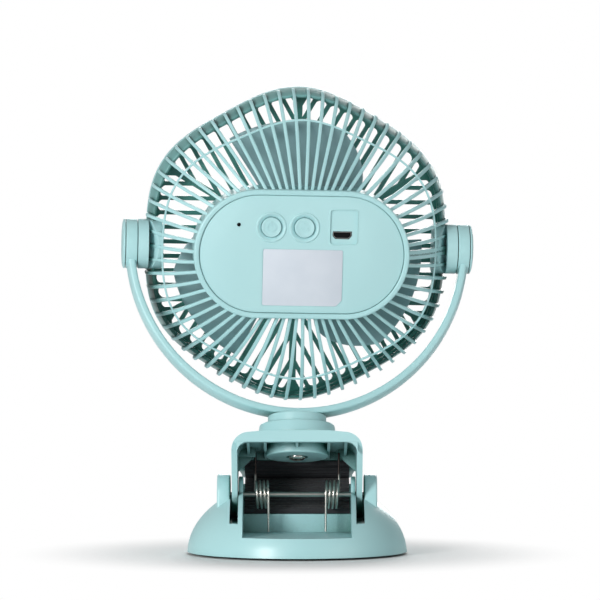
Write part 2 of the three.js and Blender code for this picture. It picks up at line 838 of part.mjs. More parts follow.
function ribs() {
  const all = [];
  for (let i = 0; i < ribCount; i++) {
    all.push(rib((2 * Math.PI * i) / ribCount, i ? ribWidth : ductWidth));
  }
  return wasm.Manifold.union(all);
}

// The thin ring across the ribs, straight from each rib to the next.
function crossRing() {
  return ringRound((angle) => {
    const [r, y] = domePoint(angle, crossRingPlace);
    const inner = r - 0.3 - crossRingWidth / 2;
    const outer = inner + crossRingWidth;
    const rear = y - 0.2;
    const front = rear + crossRingDepth;
    return [[inner, rear], [outer, rear], [outer, front], [inner, front]];
  }, ribCount);
}

// The band that the rib tips stand on. It widens towards the front.
function band() {
  return ringRound((angle) => {
    const r = outline(angle);
    return [
      [r - bandStep - bandWall, bandRear], [r - bandStep, bandRear],
      [r + bandFlare, bandFront], [r + bandFlare - bandWall, bandFront],
    ];
  });
}

function housing() {
  const wall = slab(stadium(0), "y", -housingRear, -bulkheadRear + bulkheadThickness, 10);
  const room = slab(stadium(housingWall), "y", -housingRear - 1, -bulkheadRear, 10);
  const ledge = slab(stadium(housingWall - 0.1), "y", -panelBack + seatGap, -bulkheadRear, 10);
  const ledgeRoom = slab(stadium(housingWall + 1.2), "y", -panelBack, -bulkheadRear, 10);
  return joined([cutBy(wall, [room]), cutBy(ledge, [ledgeRoom])]);
}

// The pivot bosses at both sides, notched where the front grille's rim passes.
function pivotBosses() {
  const rim = outline(0) + bandFlare + 2 * seatGap;
  const outer = discInner - seatGap;
  const notch = block([0, rim], [bossNotch, 20], [-20, 20]);
  const one = cutBy(rod(discDiameter, "x", bossRoot, outer, 32), [notch]);
  const bore = rod(screwDiameter + 2 * seatGap, "x", -80, 80);
  return cutBy(joined([one, one.mirror([1, 0, 0])]), [bore]);
}

function rearGrille() {
  const motorHole = rod(9, "y", -20, 0);
  const bore = rod(screwDiameter + 2 * seatGap, "x", -80, 80);
  const boreEnds = cutBy(bore, [block([-61, 61], [-9, 9], [-9, 9])]);
  const cage = joined([ribs(), crossRing(), band(), pivotBosses()]);
  return joined([cutBy(cage, [boreEnds]), cutBy(housing(), [motorHole, motorScrewBores()])]);
}

// ---------------------------------------------------------------- head: panel, buttons, port and label

const panelFace = housingRear - panelInset;
const panelBack = panelFace - panelThickness;

function roundedRect([x, z], [width, height], radius) {
  const shape = new THREE.Shape();
  const l = x - width / 2;
  const r = x + width / 2;
  const b = z - height / 2;
  const t = z + height / 2;
  shape.moveTo(l + radius, b);
  shape.absarc(r - radius, b + radius, radius, -Math.PI / 2, 0, false);
  shape.absarc(r - radius, t - radius, radius, 0, Math.PI / 2, false);
  shape.absarc(l + radius, t - radius, radius, Math.PI / 2, Math.PI, false);
  shape.absarc(l + radius, b + radius, radius, Math.PI, (3 * Math.PI) / 2, false);
  return shape;
}

// The charging port's mouth: straight top, and a bottom with cut corners.
function portOutline(grow) {
  const w = portWidth / 2 + grow;
  const h = portHeight / 2 + grow;
  const [x, z] = portPlace;
  return outlineOf([
    [x - w, z - h * 0.2], [x - w * 0.72, z - h], [x + w * 0.72, z - h], [x + w, z - h * 0.2],
    [x + w, z + h * 0.8], [x + w * 0.9, z + h], [x - w * 0.9, z + h], [x - w, z + h * 0.8],
  ]);
}

const upright = (body, [x, z]) => body.translate([x, 0, z]);

function rearPanel() {
  const plate = slab(stadium(housingWall + runningGap), "y", -panelFace, -panelBack, 10);
  const opening = buttonDiameter + 2 * runningGap;
  const bezelFace = -panelFace - bezelHeight;
  const bezel = sleeve(opening, bezelDiameter, "y", bezelFace, -panelFace + 0.5, 20);
  const bezels = [powerButtonPlace, modeButtonPlace].map((place) => upright(bezel, place));
  const holes = [
    upright(rod(opening, "y", -40, 0, 20), powerButtonPlace),
    upright(rod(opening, "y", -40, 0, 20), modeButtonPlace),
    upright(rod(lightDiameter + 2 * seatGap, "y", -40, 0, 12), lightPlace),
    slab(roundedRect(portPlatePlace, portPlateSize, 1.6), "y", -40, -panelFace + portPlateDepth, 3),
    slab(portOutline(seatGap), "y", -40, 0),
  ];
  const labelBed = slab(labelOutline(seatGap), "y", -panelFace - 1, -panelFace + labelThickness, 3);
  return cutBy(joined([cutBy(plate, [labelBed]), ...bezels]), holes);
}

function labelOutline(grow) {
  const [x, z] = labelPlace;
  const w = labelSize[0] / 2 + grow;
  const h = labelSize[1] / 2 + grow;
  return outlineOf([
    [x - w, z - h], [x + w - labelCut, z - h], [x + w, z - h + labelCut], [x + w, z + h], [x - w, z + h],
  ]);
}

function label() {
  const from = -panelFace - 0.1;
  return slab(labelOutline(0), "y", from, from + labelThickness);
}

// A round push button with a dished face, held behind the panel by its flange.
function button(place) {
  const r = buttonDiameter / 2;
  const face = panelFace + buttonStand;
  const flange = panelBack - seatGap;
  const body = turned([
    [0, -face + 0.3], [r - 1.6, -face + 0.1], [r - 0.8, -face], [r - 0.2, -face + 0.2],
    [r, -face + 0.7], [r, -flange], [r + 1, -flange], [r + 1, -flange + 0.8], [0, -flange + 0.8],
  ], "y", 20);
  return upright(body, place);
}

const switchFront = boardRear + seatGap;

function pushSwitch(place) {
  const top = panelBack - seatGap - 0.8 - buttonTravel - 0.3;
  const half = switchSize / 2;
  const body = block([-half, half], [-top + 1, -switchFront], [-half, half]);
  return upright(joined([body, rod(3.4, "y", -top, -top + 1.5, 16)]), place);
}

function circuitBoard() {
  const top = housingHeight / 2 - housingWall - boardClearance;
  const rect = roundedRect([0, (boardFoot + top) / 2], [boardWidth, top - boardFoot], 2);
  return slab(rect, "y", -boardRear, -boardRear + boardThickness, 3);
}

function chargingPort() {
  const rear = -panelFace + portPlateDepth + 0.2;
  const shell = slab(portOutline(0), "y", rear, -switchFront, 3);
  const mouth = slab(portOutline(-0.35), "y", rear - 1, rear + portDepth - 1, 3);
  const [x, z] = portPlace;
  const tongue = block([x - 1.9, x + 1.9], [rear + 0.5, rear + portDepth], [z + 0.1, z + 0.7]);
  return joined([cutBy(shell, [mouth]), tongue]);
}

function lightGuide() {
  const r = lightDiameter / 2;
  const flange = panelBack - seatGap;
  const body = turned([
    [0, -panelFace - 0.2], [r - 0.3, -panelFace - 0.1], [r, -panelFace + 0.1],
    [r, -flange], [r + 0.8, -flange], [r + 0.8, -flange + 0.8], [r, -flange + 0.8],
    [r, -switchFront], [0, -switchFront],
  ], "y", 10);
  return upright(body, lightPlace);
}

// A flat rechargeable cell in the housing's lower half.
function batteryCell() {
  const bottom = -housingHeight / 2 + housingWall + cellClearance;
  const front = -bulkheadRear - seatGap;
  const rect = roundedRect([0, (bottom + cellTop) / 2], [cellWidth, cellTop - bottom], 3);
  return slab(rect, "y", front - cellDepth, front, 4);
}

// ---------------------------------------------------------------- head: motor and impeller

const motorRear = -bulkheadRear + bulkheadThickness + seatGap;
const motorFront = motorRear + motorLength;
const shaftFront = hubFront - hubWall - seatGap;

function motor() {
  const r = motorDiameter / 2;
  const bore = shaftDiameter / 2 + runningGap;
  const tail = motorRear - bulkheadThickness;
  const can = turned([
    [bore, tail], [4, tail], [4, motorRear], [r - 0.8, motorRear], [r, motorRear + 0.8],
    [r, motorFront - 1], [r - 1, motorFront], [3, motorFront], [3, motorFront + 1],
    [bore, motorFront + 1], [bore, tail],
  ], "y", 20);
  return cutBy(can, [motorScrewBores()]);
}

function motorShaft() {
  return rod(shaftDiameter, "y", motorRear - bulkheadThickness + seatGap, shaftFront, 12);
}

const motorScrewPlace = motorDiameter / 2 - 4.5;

// Clearance for the two screws that hold the motor to the bulkhead.
function motorScrewBores() {
  const bore = rod(2 + 2 * seatGap, "y", -bulkheadRear - 1, -bulkheadRear + 4.4, 10);
  return joined([bore.translate([motorScrewPlace, 0, 0]), bore.translate([-motorScrewPlace, 0, 0])]);
}

function motorScrew(side) {
  const headRear = -bulkheadRear - seatGap;
  const one = turned([
    [0, headRear - 1.4], [1.5, headRear - 1.2], [1.9, headRear], [1, headRear],
    [1, headRear + 3.5], [0, headRear + 3.5],
  ], "y", 10);
  return one.translate([side * motorScrewPlace, 0, 0]);
}

// A blade's outline: a straight edge on a radius, and a swept edge that falls back towards the tip.
function bladeSweep(radius) {
  const root = hubDiameter / 2;
  const along = Math.max(0, (radius - 36) / (bladeRadius - 36));
  const sweep = bladeSweepRoot - (bladeSweepRoot - bladeSweepTip) * Math.pow(along, 1.5);
  return radians(radius < root ? bladeSweepRoot : sweep);
}

function bladePoint(radius, share, side) {
  const angle = -share * bladeSweep(radius);
  const twist = 1 - 0.25 * ((radius - hubDiameter / 2) / bladeRadius);
  const camber = 1.6 * Math.sin(Math.PI * share);
  const y = bladeFront + (bladeRear - bladeFront) * (0.5 + (share - 0.5) * twist) - camber;
  const edge = Math.min(1, 6 * Math.min(share, 1 - share) + 0.35);
  return [radius * Math.cos(angle), y + (side * bladeThickness * edge) / 2, radius * Math.sin(angle)];
}

// A blade as a closed skin: rings run round its section, from the hub to the tip.
function blade(shares = 6, radii = 5) {
  const rings = [];
  const root = hubDiameter / 2 - 1.2;
  for (let i = 0; i <= radii; i++) {
    const radius = root + ((bladeRadius - root) * i) / radii;
    const ring = [];
    for (let j = 0; j <= shares; j++) ring.push(bladePoint(radius, j / shares, -1));
    for (let j = shares; j >= 0; j--) ring.push(bladePoint(radius, j / shares, 1));
    rings.push(ring);
  }
  return loft(rings, false);
}

function impeller() {
  const r = hubDiameter / 2;
  const inner = r - hubWall;
  const rear = motorRear + 1;
  const hub = turned([
    [0, hubFront - hubWall], [inner, hubFront - hubWall], [inner, rear], [r, rear],
    [r, hubFront - 1.5], [r - 1.5, hubFront], [0, hubFront],
  ], "y", 30);
  const socketRear = motorFront + 1 + runningGap;
  const socket = sleeve(shaftDiameter + 2 * seatGap, 8, "y", socketRear, hubFront - 1, 20);
  const blades = [];
  for (let i = 0; i < bladeCount; i++) {
    blades.push(blade().rotate([0, -bladeFirstEdge - (360 * i) / bladeCount, 0]));
  }
  return joined([hub, socket, ...blades]);
}

// ---------------------------------------------------------------- head: front grille

const rimBack = bandFront + seatGap;

// Outline of the grille's rim at its front, as a shape in X and Z.
function rimShape(inset) {
  const points = [];
  for (let i = 0; i < ribCount; i++) {
    const a = (2 * Math.PI * i) / ribCount;
    const r = outline(a) - inset;
    points.push([r * Math.cos(a), r * Math.sin(a)]);
  }
  return outlineOf(points);
}

// Ends of a sector's slots, for a line at a distance beside the sector's middle line.
function slotStart(off) {
  const besideSpine = (off + spineWidth / 2 / Math.cos(Math.PI / 6)) / Math.tan(Math.PI / 6);
  const besideDisc = Math.sqrt(Math.max(0, frontDiscRadius ** 2 - off ** 2)) + 1;
  return Math.max(besideSpine, besideDisc);
}

function slotReach(off) {
  const radius = outline(Math.asin(off / outlineRadius)) - slotMargin;
  return Math.sqrt(radius ** 2 - off ** 2);
}

// One slot: its inner end runs along the spine, and its outer end is round.
function slotHole(direction, side, beside, half) {
  const points = [
    [slotStart(beside - half), beside - half],
    [slotReach(beside - half) - half * 0.6, beside - half],
    [slotReach(beside), beside],
    [slotReach(beside + half) - half * 0.6, beside + half],
    [slotStart(beside + half), beside + half],
  ];
  const c = Math.cos(direction);
  const s = Math.sin(direction);
  const placed = points.map(([along, off]) => {
    return new THREE.Vector2(along * c - side * off * s, along * s + side * off * c);
  });
  return new THREE.Path(placed);
}

// The slots of one sixth of the grille, all parallel to its middle line.
function sectorSlots(direction) {
  const slots = [];
  for (let row = 0; row < slotRows; row++) {
    const cut = row === slotRows - 1 ? lastRowCut : 0;
    const half = (slotPitch - slotBar - cut) / 2;
    const beside = (row + 0.5) * slotPitch - cut / 2;
    slots.push(slotHole(direction, 1, beside, half), slotHole(direction, -1, beside, half));
  }
  return slots;
}

function frontGrille() {
  const plate = rimShape(bandWall + 0.4);
  for (let i = 0; i < outlineCorners; i++) {
    plate.holes.push(...sectorSlots((2 * Math.PI * i) / outlineCorners));
  }
  const face = slab(plate, "y", frontRim - 0.6 - grilleThickness, frontRim - 0.6);
  const rim = ringRound((angle) => {
    const r = outline(angle);
    const edge = r + bandFlare;
    return [
      [edge - bandWall - 1.6, rimBack], [edge, rimBack], [edge + 0.3, frontRim - 1.5],
      [edge - 1.2, frontRim], [edge - bandWall - 1.6, frontRim],
    ];
  });
  const tongue = ringRound((angle) => {
    const r = outline(angle) + bandFlare - bandWall;
    const inner = r - 2.2;
    const outer = r - 1;
    return [[inner, rimBack - 2.5], [outer, rimBack - 2.5], [outer, rimBack + 1], [inner, rimBack + 1]];
  });
  return joined([face, rim, tongue]);
}

// ---------------------------------------------------------------- pieces

piece("base_shell", baseShell(), mint, clipFrame);
piece("base_cover", baseCover(), mint, part);
piece("base_pad", basePad(), rubber, part);
piece("lower_jaw_pad", jawPad(lowerPadFace(), 1), rubber, clipFrame);
piece("clip_pin", clipPin(), steel, clipFrame);
piece("upper_jaw", upperJaw(), mint, jawFrame);
piece("upper_jaw_pad", jawPad(upperPadFace(), -1), rubber, jawFrame);
piece("swivel_screw", swivelScrew(), steel, yokeFrame);
piece("swivel_washer", swivelWasher(), steel, yokeFrame);
piece("yoke", yoke(), mint, yokeFrame);
piece("rear_grille", rearGrille(), mint, headFrame);
piece("rear_panel", rearPanel(), panelMint, headFrame);
piece("label", label(), labelFilm, headFrame);
piece("power_button", button(powerButtonPlace), panelMint, headFrame);
piece("mode_button", button(modeButtonPlace), panelMint, headFrame);
piece("charge_light", lightGuide(), clearPlastic, headFrame);
piece("charging_port", chargingPort(), steel, headFrame);
piece("power_switch", pushSwitch(powerButtonPlace), darkPlastic, headFrame);
piece("mode_switch", pushSwitch(modeButtonPlace), darkPlastic, headFrame);
piece("circuit_board", circuitBoard(), boardGreen, headFrame);
piece("battery_cell", batteryCell(), cellFoil, headFrame);
piece("motor", motor(), steel, headFrame);
piece("motor_shaft", motorShaft(), steel, headFrame);
piece("impeller", impeller(), bladeMint, headFrame);
piece("front_grille", frontGrille(), mint, headFrame);

for (const [name, side] of [["left", -1], ["right", 1]]) {
  piece(`${name}_spring`, spring(side), steel, clipFrame);
  piece(`${name}_pivot_cap`, pivotCap(side), mint, yokeFrame);
  piece(`${name}_pivot_washer`, pivotWasher(side), steel, yokeFrame);
  piece(`${name}_pivot_screw`, pivotScrew(side), steel, headFrame);
  piece(`${name}_motor_screw`, motorScrew(side), steel, headFrame);
}

console.log("least gap between the turns of a spring, mm:", leastSpringGap().toFixed(2));

export default part;
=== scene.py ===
import math

import bmesh
import bpy
from mathutils import Matrix, Vector


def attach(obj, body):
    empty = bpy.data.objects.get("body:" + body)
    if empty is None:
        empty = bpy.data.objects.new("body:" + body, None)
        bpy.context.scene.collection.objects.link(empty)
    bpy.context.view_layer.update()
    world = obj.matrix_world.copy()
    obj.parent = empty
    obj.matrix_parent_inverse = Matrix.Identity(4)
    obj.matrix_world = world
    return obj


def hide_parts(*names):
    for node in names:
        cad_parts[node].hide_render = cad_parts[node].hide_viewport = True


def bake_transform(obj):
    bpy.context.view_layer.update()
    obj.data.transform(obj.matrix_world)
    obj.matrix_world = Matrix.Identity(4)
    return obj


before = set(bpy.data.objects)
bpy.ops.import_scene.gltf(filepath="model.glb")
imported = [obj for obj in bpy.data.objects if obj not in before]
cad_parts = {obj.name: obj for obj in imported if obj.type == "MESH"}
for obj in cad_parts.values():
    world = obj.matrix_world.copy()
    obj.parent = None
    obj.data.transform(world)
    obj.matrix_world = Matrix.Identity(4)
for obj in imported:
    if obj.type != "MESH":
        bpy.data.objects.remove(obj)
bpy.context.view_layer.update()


# ------------------------------------------------------------------ studio
# A pale sweep of paper under the fan and beyond it, three soft lamps, and the
# camera, which stands well behind the fan and looks at it squarely.

def linked(thing):
    bpy.context.scene.collection.objects.link(thing)
    return thing


def aimed(thing, position, target):
    """Puts a camera or a lamp in its position and turns it towards a target."""
    way = Vector(target) - Vector(position)
    thing.location = position
    thing.rotation_euler = way.to_track_quat("-Z", "Y").to_euler()
    return thing


camera_target = Vector((0.0013, 0.0161, 0.113))
camera_distance = 1.6
camera = linked(bpy.data.objects.new("camera", bpy.data.cameras.new("camera")))
camera.data.sensor_width = 36
camera.data.lens = 213
aimed(camera, camera_target - Vector((0, camera_distance, 0)), camera_target)
bpy.context.scene.camera = camera


def lamp(name, position, size, watts):
    """A round soft lamp, aimed at half the fan's height."""
    data = bpy.data.lights.new(name, "AREA")
    data.shape = "DISK"
    data.size = size
    data.energy = watts
    aimed(linked(bpy.data.objects.new(name, data)), position, (0, 0, 0.11))


lamp("key_lamp", (-0.9, -1.35, 0.38), 0.45, 16.5)
lamp("side_lamp", (1.1, -1.0, 0.35), 0.7, 2.2)
lamp("front_lamp", (0.1, 1.4, 0.45), 0.8, 12)


def feed(tree, socket, value):
    """Links a socket to a term or to another socket, or sets it to a plain value."""
    if isinstance(value, Term):
        value = value.socket
    if isinstance(value, bpy.types.NodeSocket):
        tree.links.new(value, socket)
    else:
        socket.default_value = value


def filled(tree, node, **sockets):
    """Feeds the sockets of a node, each named with _ for a space."""
    live = {socket.name.replace(" ", "_"): socket for socket in node.inputs if socket.enabled}
    for name, value in sockets.items():
        feed(tree, live[name], value)
    return node


def added(tree, kind, settings=None, **sockets):
    """A new node in a tree, with its settings made and its sockets fed."""
    node = tree.nodes.new(kind)
    for name, value in (settings or {}).items():
        setattr(node, name, value)
    return filled(tree, node, **sockets)


class Term:
    """A socket in a node tree that adds, multiplies and so on like a number."""

    def __init__(self, tree, socket):
        self.tree = tree
        self.socket = socket

    def math(self, operation, *others):
        return calculated(self.tree, operation, self, *others)

    def __add__(self, other):
        return self.math("ADD", other)

    def __sub__(self, other):
        return self.math("SUBTRACT", other)

    def __mul__(self, other):
        return self.math("MULTIPLY", other)

    def __truediv__(self, other):
        return self.math("DIVIDE", other)

    def __rtruediv__(self, other):
        return calculated(self.tree, "DIVIDE", other, self)

    __radd__ = __add__
    __rmul__ = __mul__


def calculated(tree, operation, *values):
    """What a Math node makes of values, terms or sockets."""
    node = added(tree, "ShaderNodeMath", {"operation": operation})
    for socket, value in zip(node.inputs, values):
        feed(tree, socket, value)
    return Term(tree, node.outputs[0])


world = bpy.data.worlds.new("studio_air")
bpy.context.scene.world = world
world.use_nodes = True
air = world.node_tree
air_seen = added(air, "ShaderNodeLightPath").outputs["Is Camera Ray"]
air_level = added(air, "ShaderNodeMapRange", Value=air_seen, To_Min=0.33, To_Max=1.0)
filled(air, air.nodes["Background"], Color=(1, 1, 1, 1), Strength=air_level.outputs["Result"])

sweep_reach = 4.0
sweep_start = 2.4
sweep_bend = 0.8
sweep_profile = [(-sweep_reach, 0.0)]
for step in range(13):
    bend = math.pi / 2 * step / 12
    forward = sweep_start + sweep_bend * math.sin(bend)
    sweep_profile.append((forward, sweep_bend * (1 - math.cos(bend))))
sweep_profile.append((sweep_start + sweep_bend, sweep_reach))
sweep_mesh = bpy.data.meshes.new("paper_sweep")
sweep_points = [(x, y, z) for y, z in sweep_profile for x in (-sweep_reach, sweep_reach)]
sweep_faces = [(2 * i, 2 * i + 1, 2 * i + 3, 2 * i + 2) for i in range(len(sweep_profile) - 1)]
sweep_mesh.from_pydata(sweep_points, [], sweep_faces)
sweep = linked(bpy.data.objects.new("paper_sweep", sweep_mesh))

paper = bpy.data.materials.new("pale_paper")
paper.use_nodes = True
paper_tree = paper.node_tree
paper_shader = filled(
    paper_tree, paper_tree.nodes["Principled BSDF"],
    Base_Color=(0.93, 0.93, 0.93, 1), Roughness=0.9, Specular_IOR_Level=0.1,
)
paper_white = added(paper_tree, "ShaderNodeEmission", Color=(1, 1, 1, 1))
paper_place = added(paper_tree, "ShaderNodeTexCoord").outputs["Object"]
paper_reach = added(paper_tree, "ShaderNodeVectorMath", {"operation": "LENGTH"}, Vector=paper_place)
paper_fade = added(
    paper_tree, "ShaderNodeMapRange", {"interpolation_type": "SMOOTHSTEP"},
    Value=paper_reach.outputs["Value"], From_Min=0.05, From_Max=0.13,
)
paper_seen = added(paper_tree, "ShaderNodeLightPath").outputs["Is Camera Ray"]
paper_share = Term(paper_tree, paper_fade.outputs["Result"]) * paper_seen
paper_mix = added(paper_tree, "ShaderNodeMixShader", Fac=paper_share)
feed(paper_tree, paper_mix.inputs[1], paper_shader.outputs["BSDF"])
feed(paper_tree, paper_mix.inputs[2], paper_white.outputs["Emission"])
filled(paper_tree, paper_tree.nodes["Material Output"], Surface=paper_mix.outputs["Shader"])
sweep.data.materials.append(paper)
bpy.context.scene.view_settings.view_transform = "Standard"


# ------------------------------------------------------------------ base: moulded shell
# The lower jaw and stand in one: a hollow dome in pale mint ABS, with two
# hinge forks for the clip pin, a tray between them and a beak for the rubber.
# All shapes are drawn in millimetres, and placed by the frame they are given.

seat_gap = 0.3
running_gap = 0.4
pin_height = 26.5
pin_setback = 4.0
jaw_lean = math.radians(12.5)
millimetres = Matrix.Diagonal((0.001, 0.001, 0.001, 1))
clip_frame = millimetres @ Matrix.Translation((0, -pin_setback, pin_height))

base_radius = 49.0
dome_height = 33.3
shell_wall = 2.5
foot_height = 1.0
tray_floor = 9.5 - pin_height
tray_foot = tray_floor - shell_wall
jaw_half = 28.8
jaw_wall = 2.5
lug_inner = jaw_half + 2 * running_gap
lug_outer = lug_inner + 5.9
lug_radius = 9.0
cheek_outer = jaw_half - jaw_wall - running_gap
cheek_inner = cheek_outer - 2.0
ear_radius = 10.1
pin_diameter = 2.3
throat_rear = 5.0
throat_half = 23.5
pad_lining = 2.2
bite_level = 11.4
bite_start = 23.7
jaw_reach = 41.5
cover_radius = base_radius - shell_wall - running_gap
cover_high = 3.5
nose_half = 25.0
nose_corner = 12.0

# Cutters run out to these, past every face of the clip.
beyond = 60.0
above = 40.0


def made(mesh):
    """An object from faces in a bmesh, closed, with its faces outwards."""
    bmesh.ops.remove_doubles(mesh, verts=mesh.verts, dist=1e-4)
    bmesh.ops.recalc_face_normals(mesh, faces=mesh.faces)
    data = bpy.data.meshes.new("body")
    mesh.to_mesh(data)
    mesh.free()
    return linked(bpy.data.objects.new("body", data))


def loft(rings, closed=False):
    """A skin over rings of points, joined in a circle or capped at both ends."""
    mesh = bmesh.new()
    rows = [[mesh.verts.new(point) for point in ring] for ring in rings]
    count = len(rows[0])
    pairs = list(zip(rows, rows[1:])) + ([(rows[-1], rows[0])] if closed else [])
    for low, high in pairs:
        for i in range(count):
            k = (i + 1) % count
            mesh.faces.new((low[i], low[k], high[k], high[i]))
    if not closed:
        mesh.faces.new(rows[0])
        mesh.faces.new(rows[-1])
    return made(mesh)


def on_axis(axis, a, b, level):
    """The point at (a, b) across an axis, and at a level along it."""
    return {"x": (level, a, b), "y": (a, level, b), "z": (a, b, level)}[axis]


def turned(profile, axis="z", steps=96):
    """A turned body. Its profile lists (radius, place along the axis)."""
    angles = [math.tau * i / steps for i in range(steps)]
    mesh = bmesh.new()
    rows = []
    for radius, level in profile:
        ring = [on_axis(axis, radius * math.cos(a), radius * math.sin(a), level) for a in angles]
        if radius == 0:
            rows.append([mesh.verts.new(ring[0])] * steps)
        else:
            rows.append([mesh.verts.new(point) for point in ring])
    for low, high in zip(rows, rows[1:]):
        for i in range(steps):
            k = (i + 1) % steps
            corners = list(dict.fromkeys((low[i], low[k], high[k], high[i])))
            if len(corners) > 2:
                mesh.faces.new(corners)
    if profile[0] != profile[-1]:
        for row in (rows[0], rows[-1]):
            if row[0] is not row[1]:
                mesh.faces.new(row)
    return made(mesh)


def rounded(points, closed=True, steps=5):
    """A polygon whose corners (a, b, radius) are rounded."""
    out = []
    last = len(points) - 1
    for i, point in enumerate(points):
        here = Vector(point[:2])
        radius = point[2] if len(point) > 2 else 0
        if radius == 0 or (not closed and i in (0, last)):
            out.append(tuple(here))
            continue
        before = Vector(points[i - 1][:2]) - here
        after = Vector(points[(i + 1) % len(points)][:2]) - here
        start = here + before.normalized() * min(radius, before.length * 0.49)
        end = here + after.normalized() * min(radius, after.length * 0.49)
        for step in range(steps + 1):
            t = step / steps
            out.append(tuple(start * (1 - t) ** 2 + here * 2 * t * (1 - t) + end * t * t))
    return out


def rounded_turn(profile, axis="z", steps=96, corner_steps=5):
    """A turned body whose profile lists (radius, place along the axis, rounding)."""
    return turned(rounded(profile, closed=False, steps=corner_steps), axis, steps)


def arc(radius, start, end, count, centre=(0, 0)):
    """Points along an arc, from one angle to another in degrees."""
    angles = [math.radians(start + (end - start) * i / count) for i in range(count + 1)]
    return [(centre[0] + radius * math.cos(a), centre[1] + radius * math.sin(a)) for a in angles]


def prism(outline, axis, low, high):
    """A flat outline made thick from low to high along an axis."""
    return loft([[on_axis(axis, a, b, level) for a, b in outline] for level in (low, high)])


def block(x, y, z):
    return prism([(x[0], y[0]), (x[1], y[0]), (x[1], y[1]), (x[0], y[1])], "z", *z)


def rod(diameter, axis, low, high, steps=48):
    return turned([(0, low), (diameter / 2, low), (diameter / 2, high), (0, high)], axis, steps)


def settled(piece):
    """Keeps what a piece's modifiers make of it, as its plain mesh."""
    evaluated = piece.evaluated_get(bpy.context.evaluated_depsgraph_get())
    result = bpy.data.meshes.new_from_object(evaluated)
    piece.modifiers.clear()
    piece.data = result
    return piece


def changed(piece, kind, **settings):
    """Applies one modifier to a piece."""
    modifier = piece.modifiers.new(kind, kind)
    for name, value in settings.items():
        setattr(modifier, name, value)
    return settled(piece)


def combined(piece, operation, others):
    """Cuts, joins or trims a piece with others, which are used up."""
    for other in others:
        changed(piece, "BOOLEAN", object=other, operation=operation, solver="MANIFOLD")
        bpy.data.objects.remove(other)
    return piece


def cut(piece, *cutters):
    return combined(piece, "DIFFERENCE", cutters)


def joined(piece, *others):
    return combined(piece, "UNION", others)


def shared(piece, *others):
    return combined(piece, "INTERSECT", others)


def moved(piece, x, y, z):
    piece.data.transform(Matrix.Translation((x, y, z)))
    return piece


def mirrored(piece):
    """A copy of a piece on the other side of the middle."""
    twin = linked(bpy.data.objects.new(piece.name, piece.data.copy()))
    twin.data.transform(Matrix.Diagonal((-1, 1, 1, 1)))
    twin.data.flip_normals()
    return twin


def softened(piece, width, angle=40, segments=2):
    """Rounds the sharp edges of a piece, as a mould does."""
    return changed(
        piece, "BEVEL", width=width, segments=segments, limit_method="ANGLE",
        angle_limit=math.radians(angle), use_clamp_overlap=True, miter_outer="MITER_ARC",
    )


def dome(wall, bottom):
    """The base's dome, less a wall all over, down to a bottom level."""
    levels = 20
    radius = base_radius - wall
    height = dome_height - wall
    start = math.asin(bottom / height)
    profile = [(0, bottom)]
    for i in range(levels + 1):
        rise = start + (math.pi / 2 - start) * i / levels
        profile.append((0 if i == levels else radius * math.cos(rise), height * math.sin(rise)))
    return moved(turned(profile, "z", 128), 0, pin_setback, -pin_height)


def from_jaw(y, z):
    """A point given square to the upper jaw, in the level frame of the base."""
    return (
        y * math.cos(jaw_lean) + z * math.sin(jaw_lean),
        z * math.cos(jaw_lean) - y * math.sin(jaw_lean),
    )


def bezier(a, b, c, d, count):
    points = []
    for i in range(count + 1):
        t = i / count
        weights = ((1 - t) ** 3, 3 * t * (1 - t) ** 2, 3 * t * t * (1 - t), t ** 3)
        points.append(tuple(sum(w * p[k] for w, p in zip(weights, (a, b, c, d))) for k in (0, 1)))
    return points


def beside(path, distance):
    """A path moved square to itself, by a distance that may change along it."""
    out = []
    for i, (y, z) in enumerate(path):
        before = path[max(i - 1, 0)]
        after = path[min(i + 1, len(path) - 1)]
        way = Vector((after[0] - before[0], after[1] - before[1])).normalized()
        shift = distance(i) if callable(distance) else distance
        out.append((y - way.y * shift, z + way.x * shift))
    return out


lower_bite = bite_level - seat_gap / 2
lower_face = bezier(
    (throat_rear, -6.5), (throat_rear + 12, -6.5),
    from_jaw(bite_start - 7, lower_bite), from_jaw(bite_start, lower_bite), 40,
)
lower_face += [from_jaw(bite_start + i * 0.6, lower_bite) for i in range(1, 27)]


def nose_plan():
    """A body that fills the plan of a jaw with its rounded nose."""
    tip = jaw_reach + 2
    plan = rounded([
        (-nose_half, -beyond), (nose_half, -beyond),
        (nose_half, tip, nose_corner), (-nose_half, tip, nose_corner),
    ], steps=14)
    return prism(plan, "z", -above, above)


def lug(radius, low, high, edge):
    """One side of a fork: round about the pin, and spreading down to the tray's underside."""
    spread = radius + 3
    outline = [(-spread, tray_foot), (spread, tray_foot)] + arc(radius, 0, 180, 32)
    return softened(prism(outline, "x", low, high), edge, angle=50, segments=3)


def pin_bore():
    return rod(pin_diameter + 2 * running_gap, "x", -beyond, beyond)


base_shell = cut(dome(0, foot_height), dome(shell_wall, foot_height))
core = block((-lug_outer, lug_outer), (-beyond, beyond), (tray_foot, above))
joined(base_shell, shared(dome(0, foot_height), core))
tray_front = throat_rear - 1
throat_front = 26.0
throat_floor = -9.0
cut(
    base_shell,
    block((-cheek_inner, cheek_inner), (-beyond, tray_front), (tray_floor, above)),
    block((-cheek_outer, cheek_outer), (tray_front, throat_front), (throat_floor, above)),
)
nose = from_jaw(jaw_reach, lower_bite - pad_lining - 3)
beak_half = throat_half + 2
beak_outline = [
    (tray_front, tray_foot), (base_radius - 7, tray_foot), (nose[0] + 1, -10), nose,
    *reversed(beside(lower_face, -pad_lining - seat_gap)[::4]),
]
beak = shared(prism(beak_outline, "x", -beak_half, beak_half), nose_plan())
outer_lug = lug(lug_radius, lug_inner, lug_outer, 0.9)
cheek = lug(lug_radius - 1, cheek_inner, cheek_outer, 0.4)
joined(base_shell, beak, mirrored(outer_lug), outer_lug, mirrored(cheek), cheek)
